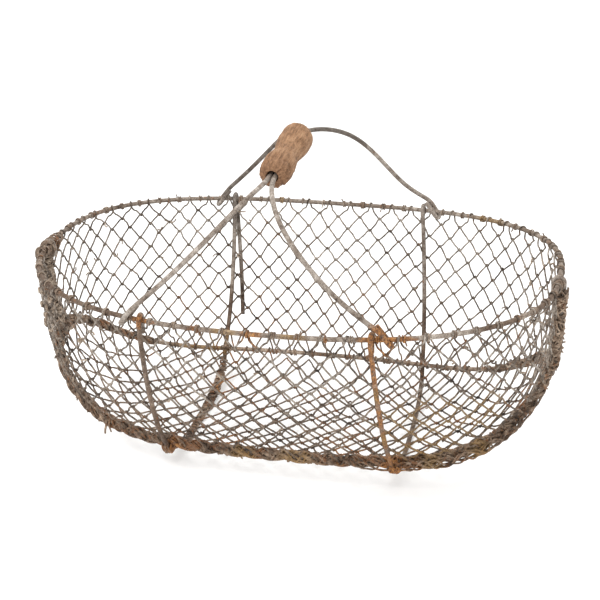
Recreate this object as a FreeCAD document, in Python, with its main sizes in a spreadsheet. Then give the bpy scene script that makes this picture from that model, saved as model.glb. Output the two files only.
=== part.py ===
import FreeCAD, Part
import math
import os
import Sketcher
from FreeCAD import Vector, Placement, Rotation

# Oval wire harvest basket with a turned hand grip. Millimetres, +Z up.
# Origin: on the resting plane, under the middle of the basket.
# X runs along the long side, +X right. Y runs across it, -Y front and +Y back.
# The hand grip lies across the basket, along Y.

os.makedirs("parts", exist_ok=True)
doc = FreeCAD.newDocument("harvest_basket")

# ---------------------------------------------------------------- driving dimensions
CELLS = [
    ("rim_half_length", 250.0),      # rim wire centreline, along X
    ("rim_half_width", 184.0),       # rim wire centreline, along Y
    ("rim_exponent", 2.56),          # superellipse exponent of the rim's plan
    ("rim_height", 181.0),           # rim centreline at the middle of the long side
    ("rim_end_rise", 6.4),           # how much higher the rim is at its two ends
    ("rim_wire_radius", 2.25),
    ("hoop_half_length", 245.0),     # base hoop centreline
    ("hoop_half_width", 117.8),
    ("hoop_exponent", 2.46),
    ("hoop_height", 30.4),           # base hoop centreline at the middle
    ("hoop_end_rise", 62.8),         # the base hoop curls up towards both ends
    ("hoop_rise_power", 5.6),
    ("hoop_wire_radius", 2.25),
    ("rib_wire_radius", 2.25),
    ("rib_left_top", 108.2),         # each rib's distance from the middle, at the rim
    ("rib_left_foot", 105.0),        # and at the bottom
    ("rib_right_top", 97.8),
    ("rib_right_foot", 112.6),
    ("rib_tail_short", 15.0),        # hook tails below the rim
    ("rib_tail_long", 120.0),
    ("rib_rest_height", 2.25),       # rib centreline at its lowest point
    ("wrap_offset", 4.85),           # centre distance of two wires that cross in contact
    ("bottom_height", 6.6),          # middle of the bottom netting at the centre
    ("bottom_rise_power", 5.5),
    ("bottom_round_power", 3.2),
    ("wall_power_k", 1.48),          # how the wall rounds over into the bottom
    ("wall_power_m", 2.89),
    ("wall_depth_share", 0.81),
    ("strut_offset_y", 22.0),        # the end struts stand a little in front of the middle
    ("strut_tail", 10.0),
    ("strut_foot_tail", 4.0),
    ("netting_thickness", 1.6),
    ("netting_edge_gap", 5.2),       # netting edge to hoop centreline on the wall
    ("netting_wall_rows", 13),       # zigzag wires from the rim down, in each wall panel
    ("netting_bottom_rows", 17),
    ("netting_row_height", 11.8),    # half a diamond
    ("netting_row_gap", 0.5),
    ("netting_front_meshes", 30),    # diamonds along each wall panel
    ("netting_back_meshes", 34),
    ("bottom_edge_gap", 7.0),        # netting edge to hoop centreline on the bottom
    ("handle_wire_radius", 2.3),
    ("handle_pair_offset", 2.6),     # each handle wire to the grip's axis
    ("handle_hook_radius", 5.05),
    ("handle_hook_drop", 2.5),
    ("handle_return_leg", 16.0),
    ("handle_left_reach", 122.0),    # where the handle wires hook on the rim
    ("handle_right_reach", 110.5),
    ("grip_length", 100.0),
    ("grip_end_radius", 15.6),
    ("grip_waist_radius", 12.7),
    ("grip_bulb_start", 27.0),       # where the waist ends, from the grip's middle
    ("grip_end_fillet", 9.5),
    ("grip_bore_radius", 5.5),
    ("grip_mouth_chamfer", 1.3),
    ("grip_centre_x", -13.2),
    ("grip_centre_y", -3.0),
    ("grip_centre_z", 288.7),
    ("grip_yaw_deg", -3.2),
    ("grip_pitch_deg", 7.75),
    ("lacing_wire_radius", 0.7),
    ("lacing_gap", 0.08),
    ("sleeve_inner_radius", 2.55),   # wrapped netting edge around the base hoop
    ("sleeve_outer_radius", 4.9),
    ("sleeve_end_gap", 6.8),
    ("hoop_bare_half", 182.0),       # half the bare length at the middle of the back
    ("seam_inner_radius", 2.55),     # netting ends around each end strut
    ("seam_outer_radius", 3.9),
    ("tie_wire_radius", 0.6),
    ("tie_loop_radius", 4.5),
]
sheet = doc.addObject("Spreadsheet::Sheet", "Dimensions")
for row_number, (alias, value) in enumerate(CELLS, start=1):
    sheet.set("A%d" % row_number, alias)
    sheet.set("B%d" % row_number, str(value))
    sheet.setAlias("B%d" % row_number, alias)
doc.recompute()


def dim(alias):
    return float(sheet.get(alias))


RIM_A, RIM_B, RIM_N = dim("rim_half_length"), dim("rim_half_width"), dim("rim_exponent")
HOOP_A, HOOP_B, HOOP_N = dim("hoop_half_length"), dim("hoop_half_width"), dim("hoop_exponent")
WRAP = dim("wrap_offset")
UP = Vector(0, 0, 1)
SIDES = (("left", -1), ("right", 1))    # name, sign of x
FACES = (("front", -1), ("back", 1))    # name, sign of y
PROBE = 1e-3                            # parameter step for slopes and tangents
OVAL_SAMPLES = 2880


# ---------------------------------------------------------------- the basket's surface
# The angle t runs round the plan from +X, through the back (+Y).
# The depth d runs down the wall, 0 at the rim and 1 at the base hoop.
def power(base, exponent):
    """Power of a signed number, keeping its sign."""
    return math.copysign(abs(base) ** exponent, base)


def rim_z(x):
    return dim("rim_height") + dim("rim_end_rise") * (abs(x) / RIM_A) ** 2


def rim_y(x):
    return RIM_B * (1 - (abs(x) / RIM_A) ** RIM_N) ** (1 / RIM_N)


def rim_point(t):
    x = RIM_A * power(math.cos(t), 2.0 / RIM_N)
    y = RIM_B * power(math.sin(t), 2.0 / RIM_N)
    return Vector(x, y, rim_z(x))


def rim_at(x, y_sign):
    return Vector(x, y_sign * rim_y(x), rim_z(x))


def hoop_z(x):
    share = min(abs(x), HOOP_A) / HOOP_A
    return dim("hoop_height") + dim("hoop_end_rise") * share ** dim("hoop_rise_power")


def hoop_y(x):
    return HOOP_B * max(1 - (abs(x) / HOOP_A) ** HOOP_N, 0.0) ** (1 / HOOP_N)


def hoop_point(t):
    x = HOOP_A * power(math.cos(t), 2.0 / HOOP_N)
    y = HOOP_B * power(math.sin(t), 2.0 / HOOP_N)
    return Vector(x, y, hoop_z(x))


def hoop_at(x, y_sign):
    return Vector(x, y_sign * hoop_y(x), hoop_z(x))


def wall_share(d):
    """How far the wall still stands out, 1 at the rim and 0 at the base hoop."""
    depth, k, m = dim("wall_depth_share"), dim("wall_power_k"), dim("wall_power_m")
    low = (1 - depth ** k) ** (1 / m)
    return ((1 - (depth * d) ** k) ** (1 / m) - low) / (1 - low)


def wall_point(t, d):
    rim, hoop, share = rim_point(t), hoop_point(t), wall_share(d)
    return Vector(
        hoop.x + (rim.x - hoop.x) * share,
        hoop.y + (rim.y - hoop.y) * share,
        hoop.z + (rim.z - hoop.z) * (1 - d),
    )


def bottom_z(x, v):
    """Bottom netting, from v = 0 under the middle to v = 1 at the base hoop."""
    end = dim("hoop_height") + dim("hoop_end_rise")
    rise = (abs(x) / HOOP_A) ** dim("bottom_rise_power")
    keel = dim("bottom_height") + (end - dim("bottom_height")) * rise
    edge = hoop_z(x)
    return min(keel, edge) + max(edge - keel, 0.0) * abs(v) ** dim("bottom_round_power")


def plan_normal(point, a, b, exponent):
    """Outward horizontal normal of a superellipse at a point on it."""
    return Vector(
        power(point.x / a, exponent - 1) / a, power(point.y / b, exponent - 1) / b, 0
    ).normalize()


def rim_normal(point):
    return plan_normal(point, RIM_A, RIM_B, RIM_N)


def run_lengths(points):
    """Distance along a run of points, at each point."""
    lengths = [0.0]
    for here, following in zip(points, points[1:]):
        lengths.append(lengths[-1] + here.distanceToPoint(following))
    return lengths


def oval(point_at, count):
    """count points spaced evenly round a closed oval."""
    run = [point_at(2 * math.pi * i / OVAL_SAMPLES) for i in range(OVAL_SAMPLES)]
    run.append(run[0])
    lengths = run_lengths(run)
    points, j = [], 0
    for i in range(count):
        want = lengths[-1] * i / count
        while lengths[j + 1] < want:
            j += 1
        share = (want - lengths[j]) / (lengths[j + 1] - lengths[j])
        points.append(run[j] + (run[j + 1] - run[j]) * share)
    return points


# ---------------------------------------------------------------- document objects
nodes = {}


def piece(label, obj):
    """Register an object as one of the exported pieces."""
    obj.Label = label
    nodes[label] = obj


def fixed_shape(name, shape):
    feature = doc.addObject("Part::Feature", name)
    feature.Shape = shape
    feature.Placement = Placement()
    return feature


def fused(name, objects):
    fuse = doc.addObject("Part::MultiFuse", name)
    fuse.Shapes = objects
    return fuse


def box(name, length, width, height, placement):
    block = doc.addObject("Part::Box", name)
    block.Length, block.Width, block.Height = length, width, height
    block.Placement = placement
    return block


# ---------------------------------------------------------------- wires
def bend(start, end, leaving, arriving):
    """Two arcs in space from start to end, tangent to both directions."""
    chord, total = end - start, leaving + arriving
    turn = 1 - min(1.0, leaving.dot(arriving))
    along = chord.dot(total)
    if turn < 1e-9:
        reach = chord.dot(chord) / (2 * along)
    else:
        reach = (-along + math.sqrt(along ** 2 + 2 * turn * chord.dot(chord))) / (2 * turn)
    corner_a, corner_b = start + leaving * reach, end - arriving * reach
    joint = (corner_a + corner_b) * 0.5
    edges = []
    for first, corner, last in ((start, corner_a, joint), (joint, corner_b, end)):
        half_chord = (last - first).Length / 2
        middle = (first + last) * 0.5
        rise = corner - middle
        if rise.Length < 2e-5 * half_chord:
            edges.append(Part.LineSegment(first, last).toShape())
            continue
        angle = math.atan2(rise.Length, half_chord)
        crown = middle + rise.normalize() * (half_chord * math.tan(angle / 2))
        edges.append(Part.Arc(first, crown, last).toShape())
    return edges


def path_wire(points, closed=False, part=None):
    """A smooth wire of tangent arcs through the points, or through one stretch of them.

    Returns the wire, its first point and its direction there."""
    curve = Part.BSplineCurve()
    curve.interpolate(Points=points, PeriodicFlag=closed)
    run = [(point, Vector(*curve.tangent(curve.parameter(point))[0])) for point in points]
    if closed:
        run.append(run[0])
    if part:
        run = run[part[0]:part[1] + 1]
    edges = []
    for (start, leaving), (end, arriving) in zip(run, run[1:]):
        edges += bend(start, end, leaving, arriving)
    return Part.Wire(edges), run[0][0], run[0][1]


def swept_wire(label, points, radius_alias, closed=False, part=None):
    """A round wire along a smooth path, with its radius taken from the sheet."""
    path = doc.addObject("Part::Feature", label + "_path")
    path.Shape, start, tangent = path_wire(points, closed, part)
    ring = doc.addObject("Part::Circle", label + "_section")
    ring.setExpression("Radius", "Dimensions." + radius_alias)
    ring.Placement = Placement(start, Rotation(UP, tangent))
    sweep = doc.addObject("Part::Sweep", label)
    sweep.Sections = [ring]
    sweep.Spine = (path, ["Edge%d" % (i + 1) for i in range(len(path.Shape.Edges))])
    sweep.Solid = True
    sweep.Frenet = False
    return sweep


def pipe(spine, radius, start, tangent):
    profile = Part.Wire([Part.makeCircle(radius, start, tangent)])
    return spine.makePipeShell([profile], True, False)


def sleeve(path, kind):
    """A hollow tube along a path_wire result; kind names its two radii in the sheet."""
    outer = pipe(path[0], dim(kind + "_outer_radius"), path[1], path[2])
    inner = pipe(path[0], dim(kind + "_inner_radius"), path[1], path[2])
    return outer.cut(inner).Solids[0]


def arc_points(centre, across, rise, radius, start_deg, end_deg, count):
    """Points on an arc in the plane of across and rise, from start to end."""
    points = []
    for i in range(count + 1):
        angle = math.radians(start_deg + (end_deg - start_deg) * i / count)
        points.append(
            centre + across * (radius * math.cos(angle)) + rise * (radius * math.sin(angle))
        )
    return points


# ---------------------------------------------------------------- rim and base hoop
RIM_POINTS = 72
HOOP_POINTS = 96


def build_rim():
    """One closed wire, its ends a little higher than its middle."""
    piece("rim_hoop", swept_wire("rim_hoop", oval(rim_point, RIM_POINTS), "rim_wire_radius", True))


def build_base_hoop():
    """A boat-shaped oval, its ends curled up, swept in two halves."""
    run = oval(hoop_point, HOOP_POINTS)
    middle = HOOP_POINTS // 2
    piece("base_hoop", fused("base_hoop", [
        swept_wire("base_hoop_back", run, "hoop_wire_radius", True, (0, middle)),
        swept_wire("base_hoop_front", run, "hoop_wire_radius", True, (middle, HOOP_POINTS)),
    ]))


# ---------------------------------------------------------------- ribs
# Each rib is one wire: a hook over the front rim, down outside the front wall, under the
# bottom, up through the netting just inside the base hoop, up inside the back wall, and a
# hook over the back rim.
# A place on the rib runs -2 front rim, -1 front of the hoop, 0 middle of the bottom,
# 1 back of the hoop, 2 back rim.
WALL_STEPS = 12
BOTTOM_PLACES = [-0.9 + 0.1 * i for i in range(18)] + [0.84 + 0.02 * i for i in range(8)]
CROSS_START = 0.87       # the rib starts to pass through the netting here
CROSS_SPAN = 0.125
CROSS_END = 0.995
SETTLE_REACH = 0.9       # between -this and +this the rib sags to its resting height
TAIL_STEP = 20.0         # spacing of points down a long back tail
TAIL_DRIFT_POWER = 1.2
# Back tails: length alias, sideways drift in x, extra distance from the wall at the tip
BACK_TAILS = {
    "left": ("rib_tail_long", 14.0, 0.3),
    "right": ("rib_tail_short", -1.5, 0.0),
}


def rib_section(top, foot):
    """(y, z, place) along the netting surface that the rib follows."""
    top_y, top_z, foot_y, foot_z = rim_y(top), rim_z(top), hoop_y(foot), hoop_z(foot)

    def on_wall(d):
        return foot_y + (top_y - foot_y) * wall_share(d), foot_z + (top_z - foot_z) * (1 - d)

    section = []
    for i in range(WALL_STEPS + 1):
        d = i / float(WALL_STEPS)
        y, z = on_wall(d)
        section.append((-y, z, -2 + d))
    for v in BOTTOM_PLACES:
        section.append((foot_y * v, bottom_z(foot, v), v))
    for i in range(WALL_STEPS + 1):
        d = 1 - i / float(WALL_STEPS)
        y, z = on_wall(d)
        section.append((y, z, 1 + (1 - d)))
    return section


def rib_side(place):
    """1 outside and below the netting, -1 inside it, changing over beside the back hoop."""
    if place <= CROSS_START:
        return 1.0
    if place >= CROSS_END:
        return -1.0
    return math.cos(math.pi * (place - CROSS_START) / CROSS_SPAN)


def rib_body(x_sign, top, foot):
    """The rib from rim to rim, offset from the netting surface."""
    section = rib_section(top, foot)
    top_z = rim_z(top)
    low = min(z for _, z, _ in section)
    last = len(section) - 1
    points = []
    for i, (y, z, place) in enumerate(section):
        if i in (0, last):
            normal_y, normal_z = (-1.0 if i == 0 else 1.0), 0.0
        else:
            before, after = section[i - 1], section[i + 1]
            run_y, run_z = after[0] - before[0], after[1] - before[1]
            length = math.hypot(run_y, run_z)
            normal_y, normal_z = run_z / length, -run_y / length  # outward and down
        offset = WRAP * rib_side(place)
        sag = max(0.0, 1 - (place / SETTLE_REACH) ** 2)
        settle = (low - WRAP - dim("rib_rest_height")) * sag
        share = max(0.0, min(1.0, (z - low) / (top_z - low)))
        x = x_sign * (foot + (top - foot) * share)
        points.append(Vector(x, y + normal_y * offset, z + normal_z * offset - settle))
    return points


def beside_wall(top, foot, down, offset):
    """(y, z) at a height below the rim, offset outward from the back wall."""
    top_y, top_z, foot_y, foot_z = rim_y(top), rim_z(top), hoop_y(foot), hoop_z(foot)
    d = down / (top_z - foot_z)
    slope = (wall_share(d + PROBE) - wall_share(d - PROBE)) / (2 * PROBE)
    run_y, run_z = (top_y - foot_y) * slope, -(top_z - foot_z)
    length = math.hypot(run_y, run_z)
    y = foot_y + (top_y - foot_y) * wall_share(d) - run_z / length * offset
    return y, top_z - down + run_y / length * offset


def rib_points(side, x_sign):
    top, foot = dim("rib_%s_top" % side), dim("rib_%s_foot" % side)
    x_top = x_sign * top
    across = Vector(0, 1, 0)
    # the wire comes up outside the front rim, so the front tail hangs inside
    front = arc_points(rim_at(x_top, -1), across, UP, WRAP, 180, 0, 8)[1:]
    for share in (0.5, 1.0):
        y, z = beside_wall(top, foot, dim("rib_tail_short") * share, -WRAP)
        front.append(Vector(x_top, -y, z))
    # it comes up inside the back rim, so the back tail hangs outside
    back = arc_points(rim_at(x_top, 1), across, UP, WRAP, 180, 0, 8)[1:]
    length_alias, drift, stand_off = BACK_TAILS[side]
    length = dim(length_alias)
    steps = max(2, int(round(length / TAIL_STEP)))
    for k in range(1, steps + 1):
        y, z = beside_wall(top, foot, length * k / steps, WRAP)
        x = x_top + drift * (k / float(steps)) ** TAIL_DRIFT_POWER
        y += max(rim_y(x) - rim_y(x_top), 0.0) + stand_off * k / steps
        back.append(Vector(x, y, z))
    return front[::-1] + rib_body(x_sign, top, foot) + back


def build_ribs():
    for side, x_sign in SIDES:
        label = "rib_" + side
        piece(label, swept_wire(label, rib_points(side, x_sign), "rib_wire_radius"))


# ---------------------------------------------------------------- end struts
# A short wire at each end, hooked over the rim and under the base hoop.
STRUT_T = -math.asin((dim("strut_offset_y") / RIM_B) ** (RIM_N / 2.0))
STRUT_ANGLES = {"right": STRUT_T, "left": math.pi - STRUT_T}
STRUT_DEPTHS = (0.08, 0.2, 0.4, 0.6, 0.8, 0.92)
STRUT_WALL_PART = (11, 16)   # first and last strut point on the wall, between the hooks


def strut_points(side):
    t = STRUT_ANGLES[side]
    rim, hoop = rim_point(t), hoop_point(t)
    out = rim_normal(rim)
    top = arc_points(rim, out, UP, WRAP, 180, 0, 8)
    tail = [top[0] - UP * (dim("strut_tail") * k / 2.0) for k in (2, 1)]
    wall = [wall_point(t, d) + out * WRAP for d in STRUT_DEPTHS]
    hoop_out = plan_normal(hoop, HOOP_A, HOOP_B, HOOP_N)
    low = arc_points(hoop, hoop_out, UP, WRAP, 0, -180, 8)
    return tail + top + wall + low + [low[-1] + UP * dim("strut_foot_tail")]


def build_end_struts():
    for side in ("right", "left"):
        label = "end_strut_" + side
        piece(label, swept_wire(label, strut_points(side), "rib_wire_radius"))


# ---------------------------------------------------------------- grip
GRIP_CENTRE = Vector(dim("grip_centre_x"), dim("grip_centre_y"), dim("grip_centre_z"))
GRIP_TURN = Rotation(UP, dim("grip_yaw_deg")).multiply(
    Rotation(Vector(1, 0, 0), dim("grip_pitch_deg"))
)
GRIP_AXIS = GRIP_TURN.multVec(Vector(0, 1, 0))
GRIP_SIDE = GRIP_TURN.multVec(Vector(1, 0, 0))
GRIP_HALF = dim("grip_length") / 2
BULB = dim("grip_bulb_start")
END_RADIUS = dim("grip_end_radius")
WAIST_RADIUS = dim("grip_waist_radius")
BORE_RADIUS = dim("grip_bore_radius")
SHOULDER_RADIUS = 30.0
SHOULDER_RADIUS_FALLBACK = 12.0
BORE_VOLUME_SLACK = 20.0   # mm3
# The outline's geometry, in order round the half profile from the axis at the front end
FRONT_FACE, FRONT_SIDE, WAIST, BACK_SIDE, BACK_FACE, AXIS_LINE = range(6)


def origin_sketch(body, name, role):
    """A sketch on one of the body's origin planes."""
    sketch = body.newObject("Sketcher::SketchObject", name)
    plane = next(f for f in body.Origin.OriginFeatures if f.Role == role)
    sketch.AttachmentSupport = [(plane, "")]
    sketch.MapMode = "FlatFace"
    return sketch


def bound(sketch, kind, where, value, name, expression):
    """A named dimensional constraint driven by the sheet."""
    index = sketch.addConstraint(Sketcher.Constraint(kind, *(list(where) + [value])))
    sketch.renameConstraint(index, name)
    sketch.setExpression("Constraints." + name, expression)


def draw_outline(outline):
    """Half the grip's section: x is the radius, y runs along the grip."""
    corners = [
        Vector(0, -GRIP_HALF, 0), Vector(END_RADIUS, -GRIP_HALF, 0), Vector(END_RADIUS, -BULB, 0),
        Vector(END_RADIUS, BULB, 0), Vector(END_RADIUS, GRIP_HALF, 0), Vector(0, GRIP_HALF, 0),
    ]
    for i in range(6):
        start, end = corners[i], corners[(i + 1) % 6]
        if i == WAIST:
            outline.addGeometry(Part.Arc(start, Vector(WAIST_RADIUS, 0, 0), end))
        else:
            outline.addGeometry(Part.LineSegment(start, end))

    def end_at(geometry, corner):
        """The geometry and which of its ends, 1 or 2, lies on a corner."""
        return geometry, next(
            end for end in (1, 2)
            if outline.getPoint(geometry, end).distanceToPoint(corners[corner]) < 1e-6
        )

    def constrain(*terms):
        outline.addConstraint(Sketcher.Constraint(*terms))

    for i in range(6):
        following = (i + 1) % 6
        constrain("Coincident", *(end_at(i, following) + end_at(following, following)))
    for face in (FRONT_FACE, BACK_FACE):
        constrain("Horizontal", face)
    for line in (FRONT_SIDE, BACK_SIDE):
        constrain("Vertical", line)
    for end in (1, 2):
        constrain("PointOnObject", AXIS_LINE, end, -2)

    origin = (-1, 1)
    bound(outline, "DistanceX", origin + end_at(FRONT_FACE, 1), END_RADIUS,
          "end_radius", "Dimensions.grip_end_radius")
    bound(outline, "DistanceY", end_at(FRONT_FACE, 1) + origin, GRIP_HALF,
          "half_low", "Dimensions.grip_length / 2")
    bound(outline, "DistanceY", origin + end_at(BACK_SIDE, 4), GRIP_HALF,
          "half_high", "Dimensions.grip_length / 2")
    bound(outline, "DistanceY", end_at(FRONT_SIDE, 2) + origin, BULB,
          "bulb_low", "Dimensions.grip_bulb_start")
    bound(outline, "DistanceY", origin + end_at(BACK_SIDE, 3), BULB,
          "bulb_high", "Dimensions.grip_bulb_start")
    constrain("Equal", FRONT_FACE, BACK_FACE)
    sag = END_RADIUS - WAIST_RADIUS
    sag_cells = "(Dimensions.grip_end_radius - Dimensions.grip_waist_radius)"
    bound(outline, "Radius", (WAIST,), (BULB ** 2 + sag ** 2) / (2 * sag), "waist_curve",
          "(Dimensions.grip_bulb_start^2 + %s^2) / (2 * %s)" % (sag_cells, sag_cells))


def full_circles(shape, radius, distance=None):
    """Names of the full circular edges of a radius, at a distance from the grip's middle."""
    names = []
    for i, edge in enumerate(shape.Edges, start=1):
        curve = edge.Curve
        if not isinstance(curve, Part.Circle) or abs(curve.Radius - radius) >= 1e-3:
            continue
        if abs(edge.Length - 2 * math.pi * curve.Radius) >= 1e-3:
            continue
        if distance is None or abs(abs(curve.Center.y) - distance) < 1e-3:
            names.append("Edge%d" % i)
    return names


def cut_bore(grip, turned):
    """The hole right through the grip, along its axis."""
    sketch = origin_sketch(grip, "bore_circle", "XZ_Plane")
    sketch.addGeometry(Part.Circle(Vector(0, 0, 0), UP, BORE_RADIUS))
    sketch.addConstraint(Sketcher.Constraint("Coincident", 0, 3, -1, 1))
    bound(sketch, "Radius", (0,), BORE_RADIUS, "bore_radius", "Dimensions.grip_bore_radius")
    doc.recompute()
    volume_before = turned.Shape.Volume
    bore = grip.newObject("PartDesign::Pocket", "grip_bore")
    bore.Profile = sketch
    bore.Type = 1  # through all
    bore.Midplane = True
    # SideType takes the place of Midplane where the pocket has it
    if hasattr(bore, "SideType"):
        bore.SideType = "Symmetric"
    doc.recompute()
    removed = volume_before - bore.Shape.Volume
    if abs(removed - math.pi * BORE_RADIUS ** 2 * dim("grip_length")) > BORE_VOLUME_SLACK:
        raise RuntimeError("the bore didn't cut through: %.1f" % removed)
    return bore


def build_grip():
    """A turned grip with a waist, rounded ends and a bore for the handle wires."""
    grip = doc.addObject("PartDesign::Body", "handle_grip")
    outline = origin_sketch(grip, "grip_outline", "XY_Plane")
    draw_outline(outline)
    doc.recompute()
    turned = grip.newObject("PartDesign::Revolution", "grip_turned")
    turned.Profile = outline
    turned.ReferenceAxis = (outline, ["V_Axis"])
    turned.Angle = 360.0
    doc.recompute()
    bore = cut_bore(grip, turned)

    ends = grip.newObject("PartDesign::Fillet", "grip_end_rounding")
    ends.Base = (bore, full_circles(bore.Shape, END_RADIUS, GRIP_HALF))
    ends.setExpression("Radius", "Dimensions.grip_end_fillet")
    doc.recompute()
    shoulders = grip.newObject("PartDesign::Fillet", "grip_shoulder_rounding")
    shoulders.Base = (ends, full_circles(ends.Shape, END_RADIUS, BULB))
    shoulders.Radius = SHOULDER_RADIUS
    doc.recompute()
    # guards against the large radius failing on the shallow shoulder
    if not shoulders.isValid() or shoulders.Shape.isNull():
        shoulders.Radius = SHOULDER_RADIUS_FALLBACK
        doc.recompute()
    mouths = grip.newObject("PartDesign::Chamfer", "grip_mouths")
    mouths.Base = (shoulders, full_circles(shoulders.Shape, BORE_RADIUS))
    mouths.setExpression("Size", "Dimensions.grip_mouth_chamfer")
    doc.recompute()
    grip.Placement = Placement(GRIP_CENTRE, GRIP_TURN)
    piece("handle_grip", grip)


# ---------------------------------------------------------------- handle wires
# Two wires run side by side through the grip. At each end they part, and each hooks under the
# rim just outside a rib, with a short return leg inside the rim.
HOOK_LEAN = (0.62, -0.78)   # direction down the leg: outward in x, and z
MOUTH_CLEARANCE = 1.5       # a leg's curve starts this far beyond the grip's end
MOUTH_LEAD = 13.0           # straight lead of the curve along the grip's axis
LEG_END_RISE = 9.0          # the curve ends this far above the hook's turning centre and drop
LEG_END_LEAD = 7.0
HOOK_LEAD = 2.0             # extra point above the hook's turn
STATIONS_IN_GRIP = (-45.0, -35.0, -20.0, 0.0, 20.0, 35.0, 45.0)
# The two middle poles of each leg's curve: the upper knee, then the shin
LEG_POLES = {
    ("left", "front"): (Vector(-17.0, -133.0, 292.0), Vector(-82.0, -158.0, 219.0)),
    ("left", "back"): (Vector(-29.0, 138.0, 288.0), Vector(-91.0, 160.0, 216.0)),
    ("right", "front"): (Vector(2.0, -145.0, 272.0), Vector(68.0, -170.0, 207.0)),
    ("right", "back"): (Vector(28.0, 142.0, 284.0), Vector(78.0, 160.0, 208.0)),
}


def bspline_points(poles, count):
    """Points along a clamped cubic curve over the poles."""
    curve = Part.BSplineCurve()
    inner = len(poles) - 4
    knots = [i / float(inner + 1) for i in range(inner + 2)]
    curve.buildFromPolesMultsKnots(poles, [4] + [1] * inner + [4], knots, False, 3)
    return [curve.value(i / float(count)) for i in range(count + 1)]


def leg_points(x_sign, y_sign, reach, knee, shin):
    """From the grip's end out to the rim, then round the rim and back up inside it."""
    rim = rim_at(x_sign * reach, y_sign)
    out = rim_normal(rim)
    mouth = (
        GRIP_CENTRE
        + GRIP_AXIS * (y_sign * (GRIP_HALF + MOUTH_CLEARANCE))
        + GRIP_SIDE * (x_sign * dim("handle_pair_offset"))
    )
    along = Vector(x_sign * HOOK_LEAN[0], 0, HOOK_LEAN[1])
    along = (along - out * along.dot(out)).normalize()
    radius, drop = dim("handle_hook_radius"), dim("handle_hook_drop")
    centre = rim + along * drop
    end = centre + out * radius - along * (drop + LEG_END_RISE)
    leg = bspline_points(
        [mouth, mouth + GRIP_AXIS * (y_sign * MOUTH_LEAD), knee, shin,
         end - along * LEG_END_LEAD, end],
        18,
    )
    leg.append(centre + out * radius - along * (drop * 0.5 + HOOK_LEAD))
    arc = arc_points(centre, out, along, radius, 0, 180, 10)
    back = [arc[-1] - along * (dim("handle_return_leg") * k / 3.0) for k in (1, 2, 3)]
    return leg + arc + back


def build_handle_wires():
    for side, x_sign in SIDES:
        reach = dim("handle_%s_reach" % side)
        front, back = [
            leg_points(x_sign, y_sign, reach, *LEG_POLES[side, face]) for face, y_sign in FACES
        ]
        inside = [
            GRIP_CENTRE + GRIP_AXIS * station + GRIP_SIDE * (x_sign * dim("handle_pair_offset"))
            for station in STATIONS_IN_GRIP
        ]
        label = "handle_wire_" + side
        piece(label, swept_wire(label, front[::-1] + inside + back, "handle_wire_radius"))


# ---------------------------------------------------------------- netting
# Each row of netting is one zigzag wire, linked to the rows above and below it. Here a row is a
# closed thin band with the row's true outline. The wall is two panels, front and back, that meet
# at the end struts; their lower rows end where the base hoop comes up. The bottom rows run
# lengthways inside the base hoop.
HALF_THICKNESS = dim("netting_thickness") / 2
HALF_ROW_GAP = dim("netting_row_gap") / 2


def skin(rows):
    """A smooth face over a grid of control points."""
    counts = len(rows), len(rows[0])
    degrees = [min(3, count - 1) for count in counts]
    knots, mults = [], []
    for count, degree in zip(counts, degrees):
        knots.append([float(i) for i in range(count - degree + 1)])
        mults.append([degree + 1] + [1] * (count - degree - 1) + [degree + 1])
    surface = Part.BSplineSurface()
    surface.buildFromPolesMultsKnots(
        rows, mults[0], mults[1], knots[0], knots[1], False, False, degrees[0], degrees[1]
    )
    return surface.toShape()


def thin_solid(skin_a, skin_b):
    """The closed solid between two grids of control points."""
    faces = [
        skin(skin_a),
        skin(skin_b),
        skin([skin_a[0], skin_b[0]]),
        skin([skin_a[-1], skin_b[-1]]),
        skin([[row[0] for row in skin_a], [row[0] for row in skin_b]]),
        skin([[row[-1] for row in skin_a], [row[-1] for row in skin_b]]),
    ]
    shell = Part.Shell(faces)
    if not shell.isClosed():
        made = Part.makeCompound(faces)
        made.sewShape()
        shell = made.Shells[0]
    solid = Part.Solid(shell)
    if solid.Volume < 0:
        solid.reverse()
    return solid


def add_row(label, shape, tool=None):
    """One row of netting, with a tool cut out of it if one is given."""
    if tool is None:
        piece(label, fixed_shape(label, shape))
        return
    whole = fixed_shape(label + "_whole", shape)
    row = doc.addObject("Part::Cut", label)
    row.Base, row.Tool = whole, tool
    piece(label, row)


# ---------------------------------------------------------------- wall netting
DEPTH_STEPS = 160          # samples down the wall
HOOP_CLEARANCE = 0.7       # added to the edge gap where the netting stops above the hoop
PANEL_STEPS = 2000         # samples along a panel's top edge
EDGE_STEPS = 200           # places along a panel where its lower edge is worked out
SEAM_GAP = 1.0             # panel end to strut angle, along the rim
COLUMNS = 48               # control columns in a full-length row
MIN_COLUMNS = 12
MIN_ROW_HEIGHT = 3.0       # a row keeps at least this height over the base hoop
ROW_END_HEIGHT = 3.5       # and ends where there is no more than this left
LAST_ROW_EXTRA = 20.0      # the last row reaches past its height, down to the hoop
HOOK_GAP_SIZE = (15.0, 24.0, 20.0)   # along the rim, across it, up
HOOK_GAP_SHIFT = 4.5       # towards the side the leg comes from
HOOK_GAP_BELOW = 13.5      # below the rim centreline

# Each panel's first and last angle, and its number of meshes
PANELS = {
    "front": (math.pi - STRUT_T, 2 * math.pi + STRUT_T, int(dim("netting_front_meshes"))),
    "back": (STRUT_T, math.pi - STRUT_T, int(dim("netting_back_meshes"))),
}


def panel_run(name):
    """Angles along a panel, and the distances along its top edge."""
    start, end, _ = PANELS[name]
    angles = [start + (end - start) * i / float(PANEL_STEPS) for i in range(PANEL_STEPS + 1)]
    return angles, run_lengths([rim_point(t) for t in angles])


RUNS = {name: panel_run(name) for name in PANELS}


def panel_length(name):
    return RUNS[name][1][-1]


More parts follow.
